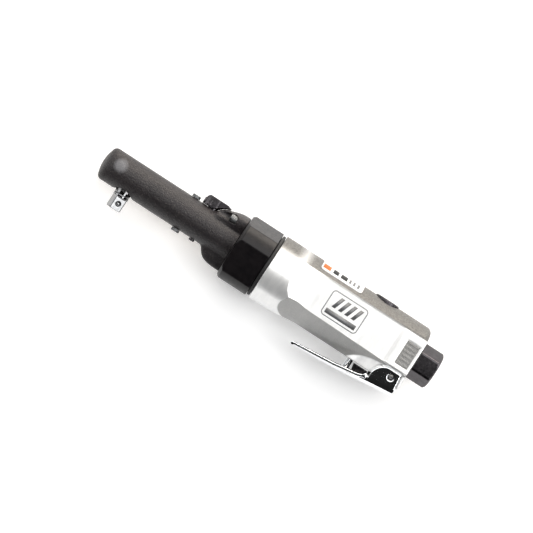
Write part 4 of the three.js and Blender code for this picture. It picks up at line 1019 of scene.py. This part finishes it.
def mark_cast_and_shade(mesh):
    """Stores where the casting is left rough and dark: the spine, the slanted flats, the belly and the
    panels, and the top of the front ring, where the darkening is painted shade.
    """
    points = np.zeros(len(mesh.vertices) * 3)
    mesh.vertices.foreach_get("co", points)
    x, y, z = points.reshape(-1, 3).T
    z = np.abs(z)
    slant = math.radians(SLANT_TURN)
    from_slant = np.abs(-y * math.sin(slant) + z * math.cos(slant) - flat_depth(x, *SLANT_FLAT))
    from_round = np.abs(np.hypot(y, z) - HOUSING_RADIUS)
    behind_ring = smooth_step(x, 86, 97)
    spine = smooth_step(y, 10.9, 11.7) * behind_ring
    # Painted shade: the top of the polished front ring is darkened like cast metal.
    painted_shade_ring_top = smooth_step(y, 7.5, 13.5) * (1 - behind_ring)
    on_slant = smooth_step(-from_slant, -0.25, -0.08) * (x > SLANT_FLAT[0])
    slanted = on_slant * smooth_step(from_round, 0.02, 0.1)
    belly = smooth_step(-y, -BELLY_Y - 0.3, -BELLY_Y - 0.1) * smooth_step(x, 98, 106)
    in_panel = (x > PANEL_X[0]) & (x < PANEL_X[1]) & (y > PANEL_Y[0]) & (y < PANEL_Y[1])
    panel = in_panel * smooth_step(-z, 0.15 - PAD_FACE_Z, 0.25 - PAD_FACE_Z)
    rough = np.maximum.reduce([spine, painted_shade_ring_top, 0.55 * slanted, 0.55 * belly, PANEL_ROUGHNESS * panel])
    store_cast_and_shade(mesh, rough)


def motor_housing():
    solid = softened(cut(housing_body(), *housing_hollows()), 0.3, 3, most_faces=13)
    mark_cast_and_shade(solid)
    return solid


place("housing_shown", motor_housing(), LOOKS["casting"], "casing", ["motor_housing"])


def panel_ribs(side):
    """Plain ribs that stand in the sunk panel."""
    heights = (PAD_FACE_Z - 0.6, PAD_FACE_Z - 0.05)
    pitch = 2.15
    ribs = []
    for index in range(6):
        y = -4.9 + index * pitch
        ribs.append(block((154.5, 160.4), (y, y + 1), heights))
    mesh = softened(join(*ribs), 0.1, 2)
    store_cast_and_shade(mesh, np.full(len(mesh.vertices), PANEL_ROUGHNESS))
    return mesh if side > 0 else mirrored(mesh)


def label():
    """A thin foil with round corners, bent over the spine."""
    radius = LABEL[1].y
    thickness = 0.18
    corner = 1.7
    middle_x = middle(LABEL, X)
    half_x = half_size(LABEL, X)
    half_arc = math.radians(40) * radius
    outline = []
    for sign_x, sign_a, start in ((1, 1, 0), (-1, 1, 90), (-1, -1, 180), (1, -1, 270)):
        centre = (sign_x * (half_x - corner), sign_a * (half_arc - corner))
        outline.extend(arc(centre, corner, start, start + 90, 8))
    sheet = prism("z", outline, 0, thickness)
    shape = bmesh.new()
    shape.from_mesh(sheet)
    bend_steps = 60
    for step in range(1, bend_steps):
        along = -half_arc + 2 * half_arc * step / bend_steps
        everything = [*shape.verts, *shape.edges, *shape.faces]
        bmesh.ops.bisect_plane(shape, geom=everything, plane_co=(0, along, 0), plane_no=(0, 1, 0))
    bmesh.ops.triangulate(shape, faces=shape.faces)
    for vertex in shape.verts:
        across, along, height = vertex.co
        angle = along / radius
        reach = radius - thickness + height
        vertex.co = (middle_x + across, reach * math.cos(angle), reach * math.sin(angle))
    bmesh.ops.recalc_face_normals(shape, faces=shape.faces)
    shape.to_mesh(sheet)
    shape.free()
    return sheet


place("label_shown", label(), LOOKS["label"], "casing", ["blank_label"])


def side_mark():
    """A plain etched badge: a rounded frame around four slanted bars and a band."""
    left, right, low, high = 111, 131, -5, 8.5
    line = 0.45
    corner = 2
    top, bottom = 0.03, -0.3

    def rounded(inset):
        outline = []
        for x, y, start in ((right, high, 0), (left, high, 90), (left, low, 180), (right, low, 270)):
            centre = (x - corner if x == right else x + corner, y - corner if y == high else y + corner)
            outline.extend(arc(centre, corner - inset, start, start + 90, 12))
        return outline

    border = cut(prism("z", rounded(0), bottom, top), prism("z", rounded(line), bottom - 1, top + 1))
    bars = []
    for index in range(4):
        x = left + 3.2 + index * 3.6
        bars.append(prism("z", [(x, 0.6), (x + 1.9, 0.6), (x + 4.1, 6.7), (x + 2.2, 6.7)], bottom, top))
    band = block((left + 1.6, right - 1.6), (-3.5, -1), (bottom, top))
    mesh = join(border, band, *bars)
    for vertex in mesh.vertices:
        vertex.co.z += float(flat_depth(vertex.co.x, *SIDE_FLAT))
    return mesh


place("side_mark", side_mark(), ETCHED, "casing")
for rib_side, rib_name in ((1, "near"), (-1, "far")):
    place("panel_ribs_" + rib_name, panel_ribs(rib_side), LOOKS["casting"], "casing", ())


# ---- regulator dial and throttle valve


def regulator_dial():
    """A ribbed dial with a screwdriver slot, its groove for the O-ring and its notch for the air."""
    stem, groove, rim, rim_low, top = 4.9, 4.1, 6.5, 14.3, 18.1
    rounding = arc((top - 0.6, rim - 0.6), 0.6, 90, 0, 6)
    body = lathe("y", [(5.8, stem), (9.6, stem), (9.6, groove), (11.2, groove), (11.2, stem),
                       (rim_low, stem), (rim_low, rim), (top - 0.6, rim), *rounding])
    slot = block((-5, 5), (17.1, 19), (-0.6, 0.6))
    notch = block((0, 6), (5, 8.5), (-2, 2))
    well = rod("y", 5, 8, 3)
    count = 30
    grip = rod("y", 14, 19, 0.22, 16, z=rim + 0.05)
    grips = [spun(grip, index * 360 / count, "Y") for index in range(count)]
    return softened(cut(body, slot, notch, well, *grips), 0.14, 2)


def valve_stem():
    """A round-ended pin with a collar."""
    end, tail = STEM[0].y, STEM[1].y
    radius, collar_radius, tail_radius, rounding = 1.75, 3.8, 1.1, 0.6
    edge = arc((end + rounding, radius - rounding), rounding, 180, 90, 8)
    top = [(-2.8, radius), (-2.8, collar_radius), (-1.3, collar_radius), (-1.3, tail_radius),
           (tail, tail_radius)]
    return lathe("y", [*edge, *top], 96)


show("regulator_dial", moved(regulator_dial(), x=VALVE_X), "black_steel", "regulator")
show("valve_stem", moved(valve_stem(), x=VALVE_X), "chrome", "valve_stem")


# ---- throttle lever

LEVER_SHEET = 1.2
BEND_RADIUS = 4
TIP_X = LEVER[0].x
LEVER_HALF_WIDTH = LEVER[1].z
LEVER_WIDE_X = 146
TIP_HALF_WIDTH = 7.5
TIP_CORNER = 2.5
WEB_LINE = [(107.4, -25.2), (119, -24.6), (130.4, -23.8), (142.5, -22.5), (152, -21.4), (161.2, -20.4),
            (163, -20.2)]
SIDE_LINE = [(107.4, -24.2), (130.4, -22), (135.2, -21.2), (142.5, -20.1), (147.2, -18.2), (161.9, -16.6),
             (163, -16.5)]
SMOOTH_WEB = smooth_line(WEB_LINE, 8)


def half_width_at(x):
    """Half the lever's width, with round corners at its tip."""
    wide = float(np.interp(x, [TIP_X + TIP_CORNER, LEVER_WIDE_X], [TIP_HALF_WIDTH, LEVER_HALF_WIDTH]))
    into_corner = max(0.0, TIP_CORNER - (x - TIP_X))
    return wide - (TIP_CORNER - math.sqrt(max(0.0, TIP_CORNER ** 2 - into_corner ** 2)))


def trough(grow, low_x, high_x, top):
    """The lever's outer shape from below, as a solid up to height `top`, shrunk by -grow."""
    stations = 110
    bend_steps = 10
    sections = []
    for station in range(stations + 1):
        x = low_x + (high_x - low_x) * station / stations
        web = height_at(SMOOTH_WEB, x) - grow
        half = half_width_at(x) + grow
        bend = min(BEND_RADIUS + grow, half - 0.2)
        right = [(half, top)]
        for angle in np.linspace(0, 90, bend_steps + 1):
            right.append((half - bend + bend * math.cos(math.radians(angle)),
                          web + bend - bend * math.sin(math.radians(angle))))
        sections.append([(x, y, z) for z, y in two_sided(right)])
    return loft(sections)


def bead(line):
    """A thin rolled hem along the top edge of one side."""
    path = []
    for x in np.linspace(TIP_X + 1.2, LEVER_WIDE_X, 60):
        rise = height_at(line, x) - height_at(SMOOTH_WEB, x)
        inset = 0.0
        if rise < BEND_RADIUS:
            inset = BEND_RADIUS - math.sqrt(max(0.0, BEND_RADIUS ** 2 - (BEND_RADIUS - rise) ** 2))
        path.append(Vector((x, height_at(line, x), half_width_at(x) - inset - LEVER_SHEET / 2)))
    return swept_tube(path, 0.9, 4, math.pi / 4)


def swept_tube(path, radius, segments=16, start=0.0):
    """A closed tube of that radius along a list of points, with round ends."""
    sections = []
    ends = [(-math.cos(a), math.sin(a)) for a in (0.15, 0.6, 1.1)]
    stations = []
    first = (path[1] - path[0]).normalized()
    last = (path[-1] - path[-2]).normalized()
    for back, share in ends:
        stations.append((path[0] + first * back * radius, first, share))
    for i, point in enumerate(path):
        ahead = path[min(i + 1, len(path) - 1)] - path[max(i - 1, 0)]
        stations.append((point, ahead.normalized(), 1.0))
    for back, share in reversed(ends):
        stations.append((path[-1] - last * back * radius, last, share))
    for point, ahead, share in stations:
        side = ahead.cross(Vector((0, 1, 0))).normalized()
        up = side.cross(ahead)
        angles = [start + math.tau * step / segments for step in range(segments)]
        sections.append([point + (side * math.cos(a) + up * math.sin(a)) * radius * share for a in angles])
    return loft(sections)


def throttle_lever():
    """A chromed sheet folded to a trough, with low sides, two ears on the pin and a rolled tip."""
    outside = trough(0, TIP_X, LEVER[1].x - 0.4, 0)
    inside = trough(-LEVER_SHEET, TIP_X + LEVER_SHEET, LEVER[1].x + 3, 2)
    below = -30
    sides = prism("z", [(100, below), (170, below), *reversed(SIDE_LINE), (100, -24.9)], -20, 20)
    ears = prism("z", ear_outline(0), -20, 20)
    shell = overlap(cut(outside, inside), join(sides, ears))
    tip = rod("z", -6.2, 6.2, 0.95, x=TIP_X + 1, y=-24.35)
    curl = rod("z", LEVER_HALF_WIDTH - 1.9, LEVER_HALF_WIDTH - 0.1, 1.15)
    curl_x = LEVER_WIDE_X - 0.1
    moved(curl, x=curl_x, y=height_at(SIDE_LINE, curl_x) + 0.25)
    pin_hole = rod("z", -20, 20, PIVOT_HOLE, x=PIVOT_X, y=PIVOT_Y)
    solid = cut(join(shell, tip, *both(bead(SIDE_LINE)), *both(curl)), pin_hole)
    return softened(solid, 0.2, 2, most_faces=12)


def lever_rib():
    low, high = RIB
    outline = [(low.x + 1.1, -21.3), (high.x, -20.6), (high.x, high.y), (low.x, high.y)]
    return softened(prism("z", outline, low.z, high.z), 0.16, 3)


def lever_pin():
    """A plain pin with a turned edge and a dimple at each end."""
    half = PIN[1].z
    profile = [(-half, 0), (-half, 0.75), (-half + 0.12, 0.95), (-half + 0.35, 1.3), (-half + 0.6, 1.45)]
    pin = turned("z", two_sided(profile), 96)
    dimple = [(half - 0.5, 0), (half - 0.35, 0.45), (half + 0.2, 0.75), (half + 0.2, 0)]
    dimples = [turned("z", [(sign * along, radius) for along, radius in dimple], 96) for sign in (1, -1)]
    return softened(moved(cut(pin, *dimples), x=PIVOT_X, y=PIVOT_Y), 0.08, 1)


show("throttle_lever", throttle_lever(), "chrome", "throttle_lever")
show("lever_rib", lever_rib(), "black_steel", "throttle_lever")
show("lever_pin", lever_pin(), "steel", material=SCREW_STEEL)


# ---- air inlet


def pipe_thread(low, high, radius_low, radius_high):
    """The threaded bore as a solid to cut away: a helical groove with 18 turns to the inch."""
    pitch = 25.4 / 18
    depth = 0.55
    per_turn = 10
    segments = 72
    rings = int((high - low) / pitch * per_turn)
    sections = [[(low, 0, 0)]]
    for ring in range(rings + 1):
        x = low + (high - low) * ring / rings
        section = []
        middle_radius = radius_low + (radius_high - radius_low) * (x - low) / (high - low)
        for step in range(segments):
            turn = step / segments
            phase = ((x - low) / pitch - turn) % 1
            groove = 1 - abs(2 * phase - 1)
            radius = middle_radius + depth * (groove - 0.5)
            angle = math.tau * turn
            section.append((x, radius * math.cos(angle), radius * math.sin(angle)))
        sections.append(section)
    return loft([*sections, [(high, 0, 0)]])


def inlet_bushing():
    """A hexagon with a bevelled end on a round shank, with a real pipe thread inside."""
    low_x = INLET[0].x
    rear = INLET[1].x
    front = 162.9
    bevel_radius = 9.95
    slope = math.cos(math.radians(30))
    rounding = 1.3
    corner_centre = 17 / 2 / slope - rounding / slope
    outline = []
    for turn in range(0, 360, 60):
        centre = (corner_centre * math.cos(math.radians(turn)), corner_centre * math.sin(math.radians(turn)))
        outline.extend(arc(centre, rounding, turn - 30, turn + 30, 8))
    hexagon = prism("x", outline, front, rear)
    bevel = lathe("x", [(front, 9.35), (front + 0.5, bevel_radius), (rear - 1.1, bevel_radius),
                        (rear, 8.5)], 256)
    shank = rod("x", low_x, front + 1, 7.3, 192)
    bore = rod("x", low_x - 1, 161, 4.6)
    countersink = lathe("x", [(rear - 0.8, 5.6), (rear + 0.1, 6.4)])
    thread = pipe_thread(160, rear + 0.5, 5.35, 5.65)
    solid = cut(join(overlap(hexagon, bevel), shank), bore, thread, countersink)
    return softened(moved(solid, y=INLET_Y), 0.22, 2)


show("inlet_bushing", inlet_bushing(), "black_steel")


# ---- springs


def coil_spring(radius, wire, low, high, turns):
    """A round-wire spring that stands along y."""
    steps = turns * 20
    path = []
    for step in range(steps + 1):
        turn = math.tau * turns * step / steps
        y = low + (high - low) * step / steps
        path.append(Vector((radius * math.cos(turn), y, radius * math.sin(turn))))
    return swept_tube(path, wire, 10)


def springs():
    """The valve spring and the ball's spring."""
    bottom, top, valve_travel = -0.9, 6.8, 2.6
    spring = show("valve_spring", moved(coil_spring(2.2, 0.3, bottom, top, 5), x=VALVE_X), "steel")
    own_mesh(spring)
    length, ball_travel = 0.8, 0.5
    inner_end = SQUARE / 2 - 2.4
    coil = coil_spring(0.5, 0.12, 0, length, 3)
    coil.transform(Matrix.Rotation(math.pi / 2, 4, "X"))
    coil = spun(moved(coil, y=BALL_Y, z=inner_end), SQUARE_TURN, "Y")
    spring = show("socket_ball_spring", coil, "steel", "anvil")
    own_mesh(spring)


springs()


# ---- CAD nodes that stay as they are

SUBPART_SLOTS = {part["node"]: part["material_slot"] for part in frame["record"]["subparts"]}

for node_name, node in frame["nodes"].items():
    node.data.materials.clear()
    node.data.materials.append(LOOKS[SUBPART_SLOTS[node_name]])


# ---- floor, light and camera


def floor():
    """A pale floor just under the tool."""
    height = cad_box[0].z - 0.0001
    size = 3.0
    mesh = bpy.data.meshes.new("floor")
    corners = [(-size, -size), (size, -size), (size, size), (-size, size)]
    mesh.from_pydata([(x, y, height) for x, y in corners], [], [(0, 1, 2, 3)])
    mesh.materials.append(floor_paint())
    thing = new_object("floor", mesh)


CENTRE = Vector((0.0778, 0.0171, 0))
PICTURE_TURN = 33
PICTURE_WIDTH = 0.2584


def softbox(name, tilt, lean, distance, size, power, colour=(1, 1, 1)):
    """A rectangular light aimed at the tool. From straight above it leans `tilt` degrees towards the
    tool's back and `lean` degrees towards the inlet. Its size is along the tool, then across it."""
    data = bpy.data.lights.new(name, "AREA")
    data.shape = "RECTANGLE"
    data.size, data.size_y = size
    data.energy = power
    data.color = colour
    lamp = new_object(name, data)
    back = Vector((math.sin(math.radians(lean)),
                   math.sin(math.radians(tilt)) * math.cos(math.radians(lean)),
                   math.cos(math.radians(tilt)) * math.cos(math.radians(lean))))
    across = back.cross(Vector((1, 0, 0))).normalized()
    along = across.cross(back)
    turn = Matrix((along, across, back)).transposed().to_4x4()
    lamp.matrix_world = Matrix.Translation(CENTRE + back * distance) @ turn


def lights():
    """One large light overhead, one behind the tool, and three weak ones that fill the shadows."""
    world = bpy.data.worlds.new("studio")
    bpy.context.scene.world = world
    world.use_nodes = True
    background = world.node_tree.nodes["Background"].inputs
    background["Color"].default_value = (1, 1, 1, 1)
    background["Strength"].default_value = 0.015
    softbox("overhead", 26, 4, 0.9, (1.95, 0.77), 10.3)
    softbox("back_key", 72, 0, 0.8, (1.2, 0.3), 9, (1, 0.93, 0.84))
    softbox("inlet_fill", 0, 36, 0.8, (0.3, 0.5), 1.7)
    softbox("tip_side", 6, -62, 0.8, (0.5, 0.5), 1.4)
    softbox("front_fill", -82, 0, 0.8, (0.9, 0.16), 0.9)


def camera():
    data = bpy.data.cameras.new("camera")
    data.lens = 135
    data.sensor_width = 36
    data.clip_end = 20
    distance = PICTURE_WIDTH * data.lens / data.sensor_width
    thing = new_object("camera", data)
    thing.location = (CENTRE.x, CENTRE.y, distance)
    thing.rotation_euler = (0, 0, math.radians(PICTURE_TURN))
    bpy.context.scene.camera = thing


floor()
lights()
camera()
bpy.context.scene.view_settings.view_transform = "Standard"
